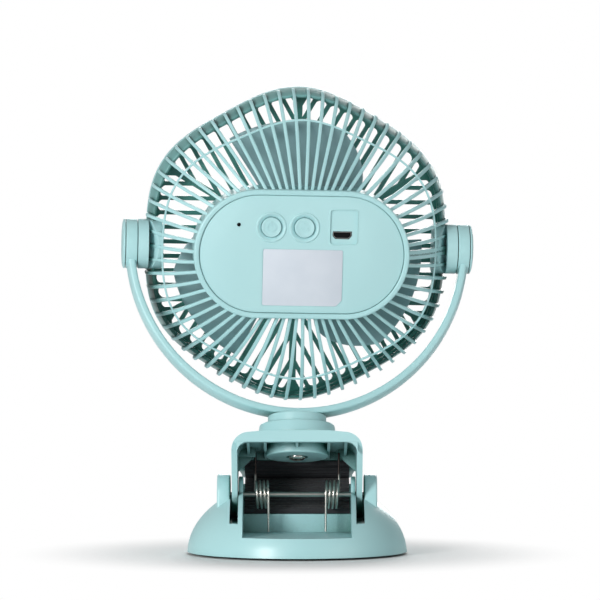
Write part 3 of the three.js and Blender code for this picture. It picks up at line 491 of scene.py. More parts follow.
groove = block((cheek_outer, lug_inner), (-beyond, ear_radius + 5), (-ear_radius - 1.2, above))
cover_seat = rod(2 * (cover_radius + running_gap), "z", 0, cover_high + seat_gap, 128)
cut(
    base_shell,
    mirrored(groove), groove,
    pin_bore(),
    moved(cover_seat, 0, pin_setback, -pin_height),
)


def linear(red, green, blue):
    """A colour as it looks on a screen, 0 to 255, in the values that light mixes in."""
    def channel(value):
        value /= 255
        return value / 12.92 if value <= 0.04045 else ((value + 0.055) / 1.055) ** 2.4
    return channel(red), channel(green), channel(blue), 1.0


def node_group(name, kind, inputs, outputs):
    """A new node group with its sockets, and the sockets inside it that they lead to."""
    group = bpy.data.node_groups.new(name, kind)
    for in_out, sockets in (("INPUT", inputs), ("OUTPUT", outputs)):
        for socket, socket_kind in sockets.items():
            socket_type = f"NodeSocket{socket_kind}"
            group.interface.new_socket(socket, in_out=in_out, socket_type=socket_type)
    given = group.nodes.new("NodeGroupInput").outputs
    result = group.nodes.new("NodeGroupOutput").inputs
    return group, given, result


def mixed(tree, share, low, high):
    """The colour between two others, where share runs from 0 to 1."""
    mix = added(tree, "ShaderNodeMix", {"data_type": "RGBA"}, Factor=share, A=low, B=high)
    return next(socket for socket in mix.outputs if socket.enabled)


def grain_group():
    """Fine mould grain, slow changes of tone, and dust where a surface faces up."""
    colors = dict.fromkeys(("Color", "Shade", "Dust Color"), "Color")
    sizes = dict.fromkeys(("Grain Size", "Grain Depth", "Tone Size", "Gloss", "Dust"), "Float")
    results = {"Color": "Color", "Roughness": "Float", "Normal": "Vector"}
    group, given, result = node_group("moulded_surface", "ShaderNodeTree", colors | sizes, results)
    place = added(group, "ShaderNodeTexCoord").outputs["Object"]

    def noise(size, detail):
        scale = 1.0 / Term(group, given[size])
        texture = added(group, "ShaderNodeTexNoise", Vector=place, Scale=scale, Detail=detail)
        return Term(group, texture.outputs["Fac"])

    grain = noise("Grain Size", 3.0)
    tone = noise("Tone Size", 2.0)
    tone_floor = 0.35
    tone_contrast = 2.2
    mottle = added(group, "ShaderNodeClamp", Value=(tone - tone_floor) * tone_contrast)
    toned = mixed(group, mottle.outputs["Result"], given["Color"], given["Shade"])

    facing = added(group, "ShaderNodeNewGeometry").outputs["Normal"]
    upward = Term(group, added(group, "ShaderNodeSeparateXYZ", Vector=facing).outputs["Z"])
    lying = upward.math("MAXIMUM", 0.0).math("POWER", 3.0)
    specks = noise("Grain Size", 6.0).math("POWER", 2.0)
    dusty = lying * specks * given["Dust"]
    feed(group, result["Color"], mixed(group, dusty, toned, given["Dust Color"]))

    tone_roughness = 0.18
    grain_roughness = 0.12
    uneven = (tone - 0.5) * tone_roughness + given["Gloss"]
    fine = (grain - 0.5) * grain_roughness
    feed(group, result["Roughness"], uneven + fine + dusty)
    bump = added(group, "ShaderNodeBump", Strength=1.0, Distance=given["Grain Depth"], Height=grain)
    feed(group, result["Normal"], bump.outputs["Normal"])
    return group


def hollow_shade_group():
    """How deep a point lies between its neighbours, as the mask for painted shade: 0 on an open
    face, 1 far inside.
    """
    sizes = dict.fromkeys(("Reach", "Open", "Closed"), "Float")
    group, given, result = node_group("hollow_places", "ShaderNodeTree", sizes, {"Depth": "Float"})
    seen = added(group, "ShaderNodeAmbientOcclusion", {"samples": 8}, Distance=given["Reach"])
    depth = added(
        group, "ShaderNodeMapRange", {"interpolation_type": "SMOOTHSTEP"},
        Value=seen.outputs["AO"], From_Min=given["Open"], From_Max=given["Closed"],
    )
    feed(group, result["Depth"], depth.outputs["Result"])
    return group


moulded_surface = grain_group()
hollow_places = hollow_shade_group()
dust_color = (232, 232, 226)


def moulding(
    name, color, shade, grain, depth, tone, gloss, dust=0.15, metallic=0.0, level=0.5, hollow_shade=None,
):
    """A finish for a moulded, drawn or printed surface.

    Painted shade may darken its hollows, in a colour given as (color, reach, open, closed).
    """
    material = bpy.data.materials.new(name)
    material.use_nodes = True
    tree = material.node_tree
    surface = added(
        tree, "ShaderNodeGroup", {"node_tree": moulded_surface},
        Color=linear(*color), Shade=linear(*shade), Dust_Color=linear(*dust_color),
        Grain_Size=grain, Grain_Depth=depth, Tone_Size=tone, Gloss=gloss, Dust=dust,
    ).outputs
    base_color = surface["Color"]
    # Painted shade: the hollows' colour is mixed in where ambient occlusion finds the surface
    # closed in.
    if hollow_shade:
        hollow_shade_color, reach, open_from, closed_from = hollow_shade
        hollow_shade_mask = added(
            tree, "ShaderNodeGroup", {"node_tree": hollow_places},
            Reach=reach, Open=open_from, Closed=closed_from,
        )
        base_color = mixed(tree, hollow_shade_mask.outputs["Depth"], base_color, linear(*hollow_shade_color))
    filled(
        tree, tree.nodes["Principled BSDF"], Base_Color=base_color, Roughness=surface["Roughness"],
        Normal=surface["Normal"], Metallic=metallic, Specular_IOR_Level=level,
    )
    return material


# Pale mint ABS, with painted shade in dark teal where it lies closed in between parts.
mint_plastic = moulding(
    "mint_plastic", (178, 222, 224), (170, 216, 219),
    grain=0.0004, depth=0.000012, tone=0.03, gloss=0.36, hollow_shade=((38, 100, 90), 0.018, 0.65, 0.1),
)


def placed(piece, name, place, body, slot, material, *nodes, sharp=32):
    """Names a finished piece and puts it on its body, in place of the CAD nodes listed."""
    piece.name = name
    piece.data.transform(place)
    piece.data.materials.clear()
    piece.data.materials.append(material)
    piece.data.shade_smooth()
    piece.data.set_sharp_from_angle(angle=math.radians(sharp))
    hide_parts(*nodes)
    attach(piece, body)
    return piece


placed(base_shell, "base_moulding", clip_frame, "base", "mint_plastic", mint_plastic, "base_shell")


# ------------------------------------------------------------------ base: cover and foot
# A round ABS cover snaps in under the dome, and a thin rubber disc with
# moulded rings is glued to it, so that the fan stands without sliding.

cover_low = 1.5
cover_edge = 0.4
base_cover = rounded_turn([
    (0, cover_low), (cover_radius, cover_low, cover_edge),
    (cover_radius, cover_high, cover_edge), (0, cover_high),
], "z", 128)
placed(base_cover, "cover_plate", millimetres, "base", "mint_plastic", mint_plastic, "base_cover")

foot_radius = 40.0
foot_top = 1.2
foot_groove = 0.25
foot_profile = [(0, foot_groove), (8, foot_groove)]
for ridge in range(10, 39, 4):
    foot_profile += [(ridge - 1.2, foot_groove), (ridge - 0.8, 0)]
    foot_profile += [(ridge + 0.8, 0), (ridge + 1.2, foot_groove)]
foot_profile += [(foot_radius - 0.8, foot_groove), (foot_radius, 2 * foot_groove)]
foot_profile += [(foot_radius, foot_top), (0, foot_top)]
foot_pad = turned(foot_profile, "z", 128)

black_rubber = moulding(
    "black_rubber", (44, 45, 48), (54, 53, 56),
    grain=0.0006, depth=0.00003, tone=0.008, gloss=0.72, dust=0.3, level=0.3,
)
placed(foot_pad, "foot_disc", millimetres, "base", "black_rubber", black_rubber, "base_pad")


# ------------------------------------------------------------------ clip: rubber linings
# A black silicone strip lines each jaw and wraps back to the throat. Fine
# ribs across it hold the edge that the clip grips. Both are glued in.

pad_rib_pitch = 2.4
pad_rib_height = 0.5
pad_sharp = 50


def ribbed_pad(face, side):
    """A strip in side view: a wavy face, and a smooth back that lies below it where side is 1."""
    finer = []
    for (y0, z0), (y1, z1) in zip(face, face[1:]):
        finer += [(y0 + (y1 - y0) * k / 3, z0 + (z1 - z0) * k / 3) for k in range(3)]
    finer.append(face[-1])
    length = [0.0]
    for (y0, z0), (y1, z1) in zip(finer, finer[1:]):
        length.append(length[-1] + math.hypot(y1 - y0, z1 - z0))
    ribs = round(length[-1] / pad_rib_pitch)

    def wave(i):
        turn = math.tau * ribs * length[i] / length[-1]
        return -side * pad_rib_height * (0.5 - 0.5 * math.cos(turn)) ** 0.6

    front = beside(finer, wave)
    back = beside(face, -side * pad_lining)
    strip = prism(front + back[::-1], "x", -throat_half, throat_half)
    return shared(strip, nose_plan())


lower_pad = ribbed_pad(lower_face, 1)
placed(
    lower_pad, "lower_lining", clip_frame, "base", "black_rubber", black_rubber, "lower_jaw_pad",
    sharp=pad_sharp,
)

upper_bite = bite_level + seat_gap / 2
upper_face = bezier(
    (bite_start - 12, upper_bite + 3.5), (bite_start - 7, upper_bite + 3.5),
    (bite_start - 6, upper_bite), (bite_start, upper_bite), 20,
)
upper_face += [(bite_start + i * 0.6, upper_bite) for i in range(1, 27)]
jaw_frame = clip_frame @ Matrix.Rotation(-jaw_lean, 4, "X")
upper_pad = ribbed_pad(upper_face, -1)
placed(
    upper_pad, "upper_lining", jaw_frame, "upper_jaw", "black_rubber", black_rubber,
    "upper_jaw_pad", sharp=pad_sharp,
)


# ------------------------------------------------------------------ clip: pin and springs
# A plain steel pin is pressed through both forks. On it sit two torsion
# springs of hard-drawn wire: each rests one leg on the tray and one under
# the jaw's roof, and pushes the jaws shut. The upper legs are painted dark,
# as painted shade and a painted reflection of the black rubber.

bright_steel = moulding(
    "bright_steel", (192, 189, 183), (165, 162, 157),
    grain=0.0006, depth=0.000004, tone=0.006, gloss=0.32, dust=0.05, metallic=1.0,
)
pin_reach = lug_outer - 1
pin_radius = pin_diameter / 2
clip_pin = rounded_turn([
    (0, -pin_reach), (pin_radius, -pin_reach, 0.3), (pin_radius, pin_reach, 0.3), (0, pin_reach),
], "x", 32)
placed(clip_pin, "pin", clip_frame, "base", "bright_steel", bright_steel, "clip_pin")

spring_wire = 1.0
spring_radius = 6.0
spring_inner = 12.2
spring_pitch = 1.7
spring_curls = 3.5
curl_steps = 32
leg_steps = 10
leg_clearance = 0.3
coil_clearance = 1.1
jaw_top = 23.6
ceiling = jaw_top - jaw_wall


def spring_path(side):
    """Centre line of a spring: lower leg, coil from the inner to the outer end, upper leg."""
    first_x = spring_inner + spring_wire / 2
    coil = []
    for i in range(int(spring_curls * curl_steps) + 1):
        turn = math.pi - math.tau * i / curl_steps
        x = first_x + spring_pitch * i / curl_steps
        coil.append((x, spring_radius * math.cos(turn), spring_radius * math.sin(turn)))
    last_x, last_y, last_z = coil[-1]
    low = tray_floor + seat_gap + spring_wire / 2
    high = from_jaw(last_y, ceiling - seat_gap - spring_wire / 2)[1] - leg_clearance
    lower = [(first_x, -spring_radius, low - low * i / leg_steps) for i in range(leg_steps)]
    rise = (high - last_z) / leg_steps
    upper = [(last_x, last_y, last_z + rise * i) for i in range(1, leg_steps + 1)]
    return [(side * x, y, z) for x, y, z in lower + coil + upper]


class Tree:
    """A geometry node tree with named inputs, run once to make one plain mesh."""

    def __init__(self, name, sizes):
        numbers = {size: "Int" if size.endswith("Count") else "Float" for size in sizes}
        self.group, self.given, self.result = node_group(
            name, "GeometryNodeTree",
            {"Geometry": "Geometry", **numbers, "Finish": "Material"}, {"Geometry": "Geometry"},
        )
        self.group.is_modifier = True

    def size(self, name):
        return Term(self.group, self.given[name])

    def part(self, kind, settings=None, **sockets):
        """The first thing that a new geometry node puts out."""
        return added(self.group, f"GeometryNode{kind}", settings, **sockets).outputs[0]

    def field(self, kind, output):
        return Term(self.group, added(self.group, f"GeometryNode{kind}").outputs[output])

    def point(self, x, y, z):
        return added(self.group, "ShaderNodeCombineXYZ", X=x, Y=y, Z=z).outputs[0]

    def together(self, *parts):
        whole = added(self.group, "GeometryNodeJoinGeometry")
        for part in parts:
            feed(self.group, whole.inputs[0], part)
        return whole.outputs[0]

    def finished(self, geometry):
        """Ends the tree with real faces in its finish."""
        whole = self.part("RealizeInstances", Geometry=geometry)
        whole = self.part("SetMaterial", Geometry=whole, Material=self.given["Finish"])
        feed(self.group, self.result[0], whole)

    def grown(self, name, finish, start=None, **sizes):
        """Runs the tree, on a mesh where it needs one, and keeps the result as a plain mesh."""
        thing = linked(bpy.data.objects.new(name, start or bpy.data.meshes.new(name)))
        modifier = thing.modifiers.new(name, "NODES")
        modifier.node_group = self.group
        values = {**sizes, "Finish": finish}
        for item in self.group.interface.items_tree:
            key = item.name.replace(" ", "_")
            if item.in_out == "INPUT" and key in values:
                modifier[item.identifier] = values[key]
        return settled(thing)


wire_tree = Tree("wire_along_path", ["Wire", "Side Count"])
size = wire_tree.size
wire_line = wire_tree.part("MeshToCurve", Mesh=wire_tree.given["Geometry"])
wire_round = wire_tree.part(
    "CurvePrimitiveCircle", Resolution=size("Side Count"), Radius=size("Wire") / 2,
)
wire_skin = wire_tree.part(
    "CurveToMesh", Curve=wire_line, Profile_Curve=wire_round, Fill_Caps=True,
)
wire_tree.finished(wire_skin)

spring_steel = moulding(
    "spring_steel", (205, 202, 195), (176, 173, 167),
    grain=0.0006, depth=0.000004, tone=0.006, gloss=0.3, dust=0.05, metallic=1.0,
)
# Painted shade and a painted reflection: the wire is painted dark above this height, on the upper
# legs.
leg_shade_from = 0.0325
leg_shade_full = 0.0355
leg_shade_color = (62, 54, 52)
steel_tree = spring_steel.node_tree
steel_color = steel_tree.nodes["Group"].outputs["Color"]
steel_place = added(steel_tree, "ShaderNodeTexCoord").outputs["Object"]
steel_height = added(steel_tree, "ShaderNodeSeparateXYZ", Vector=steel_place).outputs["Z"]
leg_shade = added(
    steel_tree, "ShaderNodeMapRange",
    Value=steel_height, From_Min=leg_shade_from, From_Max=leg_shade_full,
)
filled(
    steel_tree, steel_tree.nodes["Principled BSDF"],
    Base_Color=mixed(steel_tree, leg_shade.outputs["Result"], steel_color, linear(*leg_shade_color)),
)

for side_name, side in (("left", -1), ("right", 1)):
    wire_points = spring_path(side)
    wire_mesh = bpy.data.meshes.new("wire_line")
    wire_mesh.from_pydata(wire_points, [(i, i + 1) for i in range(len(wire_points) - 1)], [])
    spring = wire_tree.grown(
        f"{side_name}_torsion_spring", spring_steel, wire_mesh, Wire=spring_wire, Side_Count=12,
    )
    spring.data.transform(clip_frame)
    spring.data.shade_smooth()
    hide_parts(f"{side_name}_spring")
    coil_start = clip_frame @ Vector((side * (spring_inner + coil_clearance), 0, 0))
    coil_end = clip_frame @ Vector((side * (spring_inner + spring_pitch * spring_curls), 0, 0))
    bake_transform(spring)


# ------------------------------------------------------------------ clip: upper jaw
# One ABS moulding: a lever behind the pin, an arch over the springs with
# stiffening ribs under its roof, the nose that grips, and on top the round
# collar in which the yoke's neck turns.

lever_reach = 32.0
jaw_corner = 8.0
jaw_fillet = 4.5
lip_height = 5.6
pad_seat = upper_bite + pad_lining + seat_gap
swivel_setback = 4.0
collar_height = 6.9
collar_top = jaw_top + collar_height
boss_face = ceiling - 5.0
screw_pocket = 9.9
pocket_depth = 2.5
neck_diameter = 26.0
neck_seat = 2.5
spigot_diameter = 5.4

upper_seat = beside(upper_face, pad_lining + seat_gap)
roof_outline = [
    (-lever_reach, jaw_top - lip_height, 0.7),
    (-lever_reach + jaw_wall, jaw_top - lip_height, 0.7),
    (-lever_reach + jaw_wall, ceiling, 1.0),
    (upper_seat[0][0], ceiling),
    *upper_seat[:-4:4],
    (jaw_reach, pad_seat, 1.0),
    (jaw_reach + 0.6, pad_seat + 3.2, 2.0),
    (24, jaw_top - 1.2, 18.0),
    (6, jaw_top),
    (-lever_reach, jaw_top, 1.0),
]
roof = prism(rounded(roof_outline, steps=8), "x", -jaw_half, jaw_half)

wall_outline = [
    (-lever_reach, jaw_top - lip_height, 0.7),
    *arc(ear_radius, 200, 340, 28),
    (13, 12, 2.0),
    (22, pad_seat + 1),
    (22, jaw_top - 1),
    (-lever_reach, jaw_top),
]
jaw_inner = jaw_half - jaw_wall
side_wall = prism(rounded(wall_outline, steps=6), "x", jaw_inner, jaw_half)

jaw_crown = 1.1
shoulder = jaw_half - jaw_corner
side_top = jaw_top - jaw_crown
arch = [(-jaw_half, -20), (jaw_half, -20)]
arch += arc(jaw_corner, 0, 90, 12, (shoulder, side_top - jaw_corner))
for step in range(1, 12):
    across = 1 - step / 6
    arch.append((shoulder * across, side_top + jaw_crown * (1 - across * across)))
arch += arc(jaw_corner, 90, 180, 12, (-shoulder, side_top - jaw_corner))
plan = rounded([
    (-jaw_half, -lever_reach - 1, 2.5), (jaw_half, -lever_reach - 1, 2.5),
    (jaw_half, 10, 8), (nose_half, 25, 10), (nose_half, jaw_reach + 1, nose_corner),
    (-nose_half, jaw_reach + 1, nose_corner), (-nose_half, 25, 10), (-jaw_half, 10, 8),
], steps=8)

fillet_overlap = 0.2
fillet_outline = arc(jaw_fillet, 0, 90, 8, (jaw_inner - jaw_fillet, ceiling - jaw_fillet))
fillet_outline += [
    (jaw_inner - jaw_fillet, ceiling + fillet_overlap),
    (jaw_inner + fillet_overlap, ceiling + fillet_overlap),
    (jaw_inner + fillet_overlap, ceiling - jaw_fillet),
]
fillet = prism(fillet_outline, "y", -lever_reach, 12)
lip_fillet = prism(fillet_outline, "y", -lever_reach, -lever_reach + jaw_wall)
moved(lip_fillet, 0, 0, jaw_wall - lip_height)
upper_jaw = joined(
    roof,
    mirrored(side_wall), side_wall,
    mirrored(fillet), fillet,
    mirrored(lip_fillet), lip_fillet,
)
shared(upper_jaw, prism(arch, "y", -beyond, beyond), prism(plan, "z", -above, beyond))

rib_half = 0.6
rib_root = ceiling + 1
rib_edge = ceiling - 3
web_inner = 18.6
ceiling_ribs = [
    block((x - rib_half, x + rib_half), (-lever_reach + 2, 12), (rib_edge, rib_root))
    for x in (-21.5, -14, 0, 14, 21.5)
]
ceiling_ribs.append(
    block((-jaw_inner, -web_inner), (1 - rib_half, 1 + rib_half), (rib_edge - 1, rib_root)),
)
web = [(web_inner, rib_root), (web_inner, rib_edge), (jaw_inner + 1, 10), (jaw_inner + 1, rib_root)]
gusset = prism(web, "y", 4, 4 + 2 * rib_half)
ceiling_ribs += [mirrored(gusset), gusset]
ribwork = shared(joined(*ceiling_ribs), prism(arch, "y", -beyond, beyond))
cut(ribwork, moved(rod(screw_pocket + 4, "z", 0, above), 0, -swivel_setback, 0))

collar_radius = 17.35
collar = rounded_turn([
    (0, ceiling), (collar_radius, ceiling), (collar_radius, collar_top - 4.5, 0.5),
    (collar_radius - 0.7, collar_top, 1.0), (0, collar_top),
], "z", 128)
boss_radius = 14.0
boss = rounded_turn([
    (0, boss_face), (boss_radius, boss_face, 0.8), (boss_radius, rib_root), (0, rib_root),
])
moved(collar, 0, -swivel_setback, 0)
moved(boss, 0, -swivel_setback, 0)
joined(upper_jaw, collar, boss, ribwork)
swivel_bores = [
    rod(neck_diameter + 2 * running_gap, "z", collar_top - neck_seat, beyond, 96),
    rod(spigot_diameter + 2 * running_gap, "z", 0, beyond),
    rod(screw_pocket, "z", 0, boss_face + pocket_depth),
]
for bore in swivel_bores:
    moved(bore, 0, -swivel_setback, 0)
cut(upper_jaw, *swivel_bores, pin_bore())
placed(
    upper_jaw, "upper_moulding", jaw_frame, "upper_jaw", "mint_plastic", mint_plastic,
    "upper_jaw",
)


# ------------------------------------------------------------------ swivel: screw and washer
# A nickel-plated pan-head screw with a cross recess runs up through the
# collar into the yoke's neck, over a plain washer, so that the yoke turns.

pivot_height = 112.5
swivel_turn = math.radians(4.3)
yoke_place = Matrix.Translation((0, -swivel_setback, pivot_height))
yoke_frame = jaw_frame @ yoke_place @ Matrix.Rotation(swivel_turn, 4, "Z")
spigot_foot = boss_face + pocket_depth - running_gap - pivot_height
washer_top = spigot_foot - seat_gap
washer_foot = washer_top - 0.8
head_top = washer_foot - seat_gap
screw_radius = 1.5
screw_head = 3.7

nickel_plate = moulding(
    "nickel_plate", (214, 212, 206), (192, 190, 185),
    grain=0.0006, depth=0.000003, tone=0.004, gloss=0.28, dust=0.05, metallic=1.0,
)
swivel_screw = rounded_turn([
    (0, head_top + 10), (screw_radius - 0.3, head_top + 10), (screw_radius, head_top + 9.6),
    (screw_radius, head_top), (screw_head, head_top, 0.15), (screw_head, head_top - 1.1, 0.5),
    (screw_head - 0.9, head_top - 2.0, 1.0), (0, head_top - 2.2),
], "z", 48)
recess_long = (-1.9, 1.9)
recess_thin = (-0.4, 0.4)
recess_depth = (head_top - 3, head_top - 0.9)
cross = joined(
    block(recess_long, recess_thin, recess_depth), block(recess_thin, recess_long, recess_depth),
)
cut(swivel_screw, cross)
placed(
    swivel_screw, "swivel_fastener", yoke_frame, "yoke", "bright_steel", nickel_plate,
    "swivel_screw",
)

washer = turned([
    (1.8, washer_foot), (4.35, washer_foot), (4.45, washer_foot + 0.1), (4.55, washer_top - 0.1),
    (4.45, washer_top), (1.8, washer_top), (1.8, washer_foot),
], "z", 64)
placed(washer, "swivel_disc", yoke_frame, "yoke", "bright_steel", nickel_plate, "swivel_washer")


# ------------------------------------------------------------------ yoke: half ring and pivot caps
# A half ring of ABS with a crowned outer face carries the head between two
# round discs. A bevelled cap snaps over each pivot screw.

yoke_inner = 73.4
yoke_outer = 77.4
yoke_drop = 1.8
disc_radius = 11.15
disc_inner = 72.1
disc_outer = disc_inner + 5.1
screw_bore = 3.6
pivot_bore = 3.8
head_clearance = 7.4
head_sunk = 3.4
outside = 90.0
bow_half = 7.0
bow_flat = 2.8
bow_section = rounded([
    (yoke_inner, -bow_half, 1.2), (yoke_outer - 1.1, -bow_half, 0.9),
    (yoke_outer, -bow_flat, 3.5), (yoke_outer, bow_flat, 3.5),
    (yoke_outer - 1.1, bow_half, 0.9), (yoke_inner, bow_half, 1.2),
], steps=5)
bow_steps = 120
bow_rings = []
for i in range(bow_steps + 1):
    turn = math.pi + math.pi * i / bow_steps
    bow_rings.append([
        (radius * math.cos(turn), y, (radius + yoke_drop) * math.sin(turn))
        for radius, y in bow_section
    ])
yoke = loft(bow_rings)
disc = rounded_turn([
    (0, disc_inner), (disc_radius, disc_inner, 0.5),
    (disc_radius, disc_outer, 0.3), (0, disc_outer),
], "x")
neck_radius = neck_diameter / 2
neck_foot = collar_top - neck_seat + seat_gap - pivot_height
neck_top = -yoke_inner - yoke_drop - 2.6
neck = rounded_turn([
    (0, neck_foot), (neck_radius, neck_foot), (neck_radius, neck_top, 0.8), (0, neck_top),
])
spigot = rod(spigot_diameter, "z", spigot_foot, neck_foot + 1)
joined(yoke, mirrored(disc), disc, neck, spigot)
head_bore = rod(head_clearance, "x", disc_outer - head_sunk, outside)
cut(
    yoke,
    rod(screw_bore, "z", spigot_foot - 1, spigot_foot + 12),
    rod(pivot_bore, "x", -outside, outside),
    mirrored(head_bore), head_bore,
)
placed(yoke, "yoke_moulding", yoke_frame, "yoke", "mint_plastic", mint_plastic, "yoke")

cap_from = disc_outer + seat_gap
cap_to = cap_from + 1.6
right_cap = rounded_turn([
    (0, cap_from), (disc_radius, cap_from, 0.2), (disc_radius, cap_to - 0.9, 0.3),
    (disc_radius - 1.6, cap_to - 0.3, 0.6), (disc_radius - 5, cap_to, 3.0), (0, cap_to),
], "x", corner_steps=6)
left_cap = mirrored(right_cap)
for cap, side_name in ((left_cap, "left"), (right_cap, "right")):
    placed(
        cap, f"{side_name}_bevelled_cap", yoke_frame, "yoke", "mint_plastic", mint_plastic,
        f"{side_name}_pivot_cap",
    )

dull_steel = moulding(
    "dull_steel", (176, 176, 174), (150, 150, 149),
    grain=0.0005, depth=0.000008, tone=0.006, gloss=0.4, dust=0.05, metallic=1.0,
)


def refinished(material, *names):
    """Gives CAD nodes that keep their shape a better finish."""
    for name in names:
        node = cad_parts[name]
        node.data.materials.clear()
        node.data.materials.append(material)


refinished(
    dull_steel, "left_pivot_washer", "right_pivot_washer", "left_pivot_screw", "right_pivot_screw",
    "left_motor_screw", "right_motor_screw",
)


# ------------------------------------------------------------------ head: ribbed cage
# Sixty-six thin ABS ribs run from the oval housing over a dome to a soft
# hexagonal band, with a wider rib as the wire duct and one thin ring across
# them. Housing, ribs, band and the two bosses at its sides are one moulding.

head_tilt = math.radians(7.8)
head_frame = yoke_frame @ Matrix.Rotation(jaw_lean + head_tilt, 4, "X")
outline_radius = 68.4
outline_swell = 1.7
housing_width = 95.8
housing_height = 57.3
housing_rear = 31.5
rib_rear = 28.4
rib_count = 66
rib_width = 1.5
rib_depth = 2.2
duct_width = 4.0
duct_depth = rib_depth + 0.3
rib_tip = 6.6
band_rear = -3.0
band_front = 8.0
band_wall = 1.4
band_step = 1.4
band_flare = 1.1
hexagon_steps = 264
dome_end = 1.0
rib_overlap = 1.0


def cage_shape(tree, angle):
    """Distance from the axis to the housing and to the hexagon, in the direction of an angle."""
    sine = angle.math("SINE").math("ABSOLUTE")
    cosine = angle.math("COSINE").math("ABSOLUTE")
    end = tree.size("Housing Height") * 0.5
    straight = (tree.size("Housing Width") - tree.size("Housing Height")) * 0.5
    on_side = end / sine.math("MAXIMUM", 0.0001)
    half_chord = end * end - straight * straight * sine * sine
    on_end = straight * cosine + half_chord.math("MAXIMUM", 0.0).math("SQRT")
    flat = (on_side * cosine).math("LESS_THAN", straight)
    housing = on_end + (on_side - on_end) * flat - rib_overlap
    wave = ((angle - math.pi / 2) * 6.0).math("COSINE")
    return housing, tree.size("Outline") + tree.size("Swell") * wave


def dome_rise(tree, place):
    """How far forward the dome lies, where place runs from 0 at the housing to 1 at the band."""
    share = place * 0.55 + place.math("POWER", 4.0) * 0.45
    return share * (tree.size("Dome Depth") - dome_end) - tree.size("Dome Depth")


cage_sizes = [
    "Rib Count", "Rib Width", "Rib Depth", "Dome Depth", "Housing Width", "Housing Height",
    "Outline", "Swell", "Tip Reach", "Tip Stand", "Knee Stand",
]
dome_share = 0.62
bend_place = 0.84
bend_slope = 1.617
knee_share = 0.19
rib_tree = Tree("ribs_over_dome", cage_sizes)
size = rib_tree.size
strand = rib_tree.part("ResampleCurve", Curve=rib_tree.part("CurvePrimitiveLine"), Count=30)
starts = rib_tree.part("MeshLine", Count=size("Rib Count"))
strands = rib_tree.part("InstanceOnPoints", Points=starts, Instance=strand)
strands = rib_tree.part("RealizeInstances", Geometry=strands)
rib_angle = rib_tree.field("CurveOfPoint", "Curve Index") / size("Rib Count") * math.tau
along = rib_tree.field("SplineParameter", "Factor")
rib_housing, rib_hexagon = cage_shape(rib_tree, rib_angle)
place = (along / dome_share).math("MINIMUM", 1.0) * bend_place
bend = ((along - dome_share) / (1 - dome_share)).math("MAXIMUM", 0.0)
back = bend * -1.0 + 1.0
slope = (size("Dome Depth") - dome_end) * bend_slope
dome = (rib_housing + (rib_hexagon - rib_housing) * place, dome_rise(rib_tree, place))
knee = (size("Outline") + size("Knee Stand"), dome_rise(rib_tree, place) + slope * knee_share)
tip = (rib_hexagon + size("Tip Stand"), size("Tip Reach"))
radius, depth = (
    start * back * back + middle * bend * back * 2.0 + end * bend * bend
    for start, middle, end in zip(dome, knee, tip)
)
cosine = rib_angle.math("COSINE")
sine = rib_angle.math("SINE")
rib_point = rib_tree.point(radius * cosine, depth, radius * sine)
shaped = rib_tree.part("SetPosition", Geometry=strands, Position=rib_point)
across = rib_tree.point(sine * -1.0, 0.0, cosine)
shaped = rib_tree.part("SetCurveNormal", {"mode": "FREE"}, Curve=shaped, Normal=across)
bar = rib_tree.part(
    "CurvePrimitiveQuadrilateral", Width=size("Rib Width"), Height=size("Rib Depth"),
)
bar = rib_tree.part("FilletCurve", {"mode": "POLY"}, Curve=bar, Count=3, Radius=0.35)
inwards = rib_tree.point(0.0, size("Rib Depth") * -0.5, 0.0)
bar = rib_tree.part("Transform", Geometry=bar, Translation=inwards)
rib_tree.finished(rib_tree.part("CurveToMesh", Curve=shaped, Profile_Curve=bar, Fill_Caps=True))

cage_values = dict(
    Dome_Depth=rib_rear, Housing_Width=housing_width, Housing_Height=housing_height,
    Outline=outline_radius, Swell=outline_swell, Tip_Reach=rib_tip, Tip_Stand=0.9, Knee_Stand=3.5,
)
ribs = rib_tree.grown(
    "ribs", mint_plastic,
    Rib_Count=rib_count, Rib_Width=rib_width, Rib_Depth=rib_depth, **cage_values,
)
duct = rib_tree.grown(
    "wire_duct", mint_plastic,
    Rib_Count=1, Rib_Width=duct_width, Rib_Depth=duct_depth, **cage_values,
)

ring_tree = Tree("ring_across_ribs", ["Thickness", "Place", "Lift"] + cage_sizes)
size = ring_tree.size
hoop = ring_tree.part("CurvePrimitiveCircle", Resolution=hexagon_steps, Radius=1.0)
hoop_angle = ring_tree.field("SplineParameter", "Factor") * math.tau
hoop_housing, hoop_hexagon = cage_shape(ring_tree, hoop_angle)
hoop_radius = hoop_housing + (hoop_hexagon - hoop_housing) * size("Place")
hoop_point = ring_tree.point(
    hoop_radius * hoop_angle.math("COSINE"),
    dome_rise(ring_tree, size("Place")) + size("Lift"),
    hoop_radius * hoop_angle.math("SINE"),
)
hoop = ring_tree.part("SetPosition", Geometry=hoop, Position=hoop_point)
thread = ring_tree.part(
    "CurvePrimitiveQuadrilateral", Width=size("Thickness"), Height=size("Thickness") * 2.0,
)
thread = ring_tree.part("FilletCurve", {"mode": "POLY"}, Curve=thread, Count=3, Radius=0.3)
ring_tree.finished(ring_tree.part("CurveToMesh", Curve=hoop, Profile_Curve=thread))
cross_ring = ring_tree.grown(
    "cross_ring", mint_plastic, Thickness=0.9, Place=0.72, Lift=0.75, **cage_values,
)


def hexagon_radius(angle):
    return outline_radius + outline_swell * math.cos(6 * (angle - math.pi / 2))


def ring_round(section_at):
    """A ring round the head's axis, whose section of (radius, place) follows the angle."""
    rings = []
    for i in range(hexagon_steps):
        turn = math.tau * i / hexagon_steps
        rings.append([(r * math.cos(turn), y, r * math.sin(turn)) for r, y in section_at(turn)])
    return loft(rings, closed=True)


def band_section(turn):
    r = hexagon_radius(turn)
    return rounded([
        (r - band_step - band_wall, band_rear, 0.4), (r - band_step, band_rear, 0.5),
        (r + band_flare, band_front, 0.5), (r + band_flare - band_wall, band_front, 0.4),
    ], steps=3)


end_steps = 68
side_steps = 12


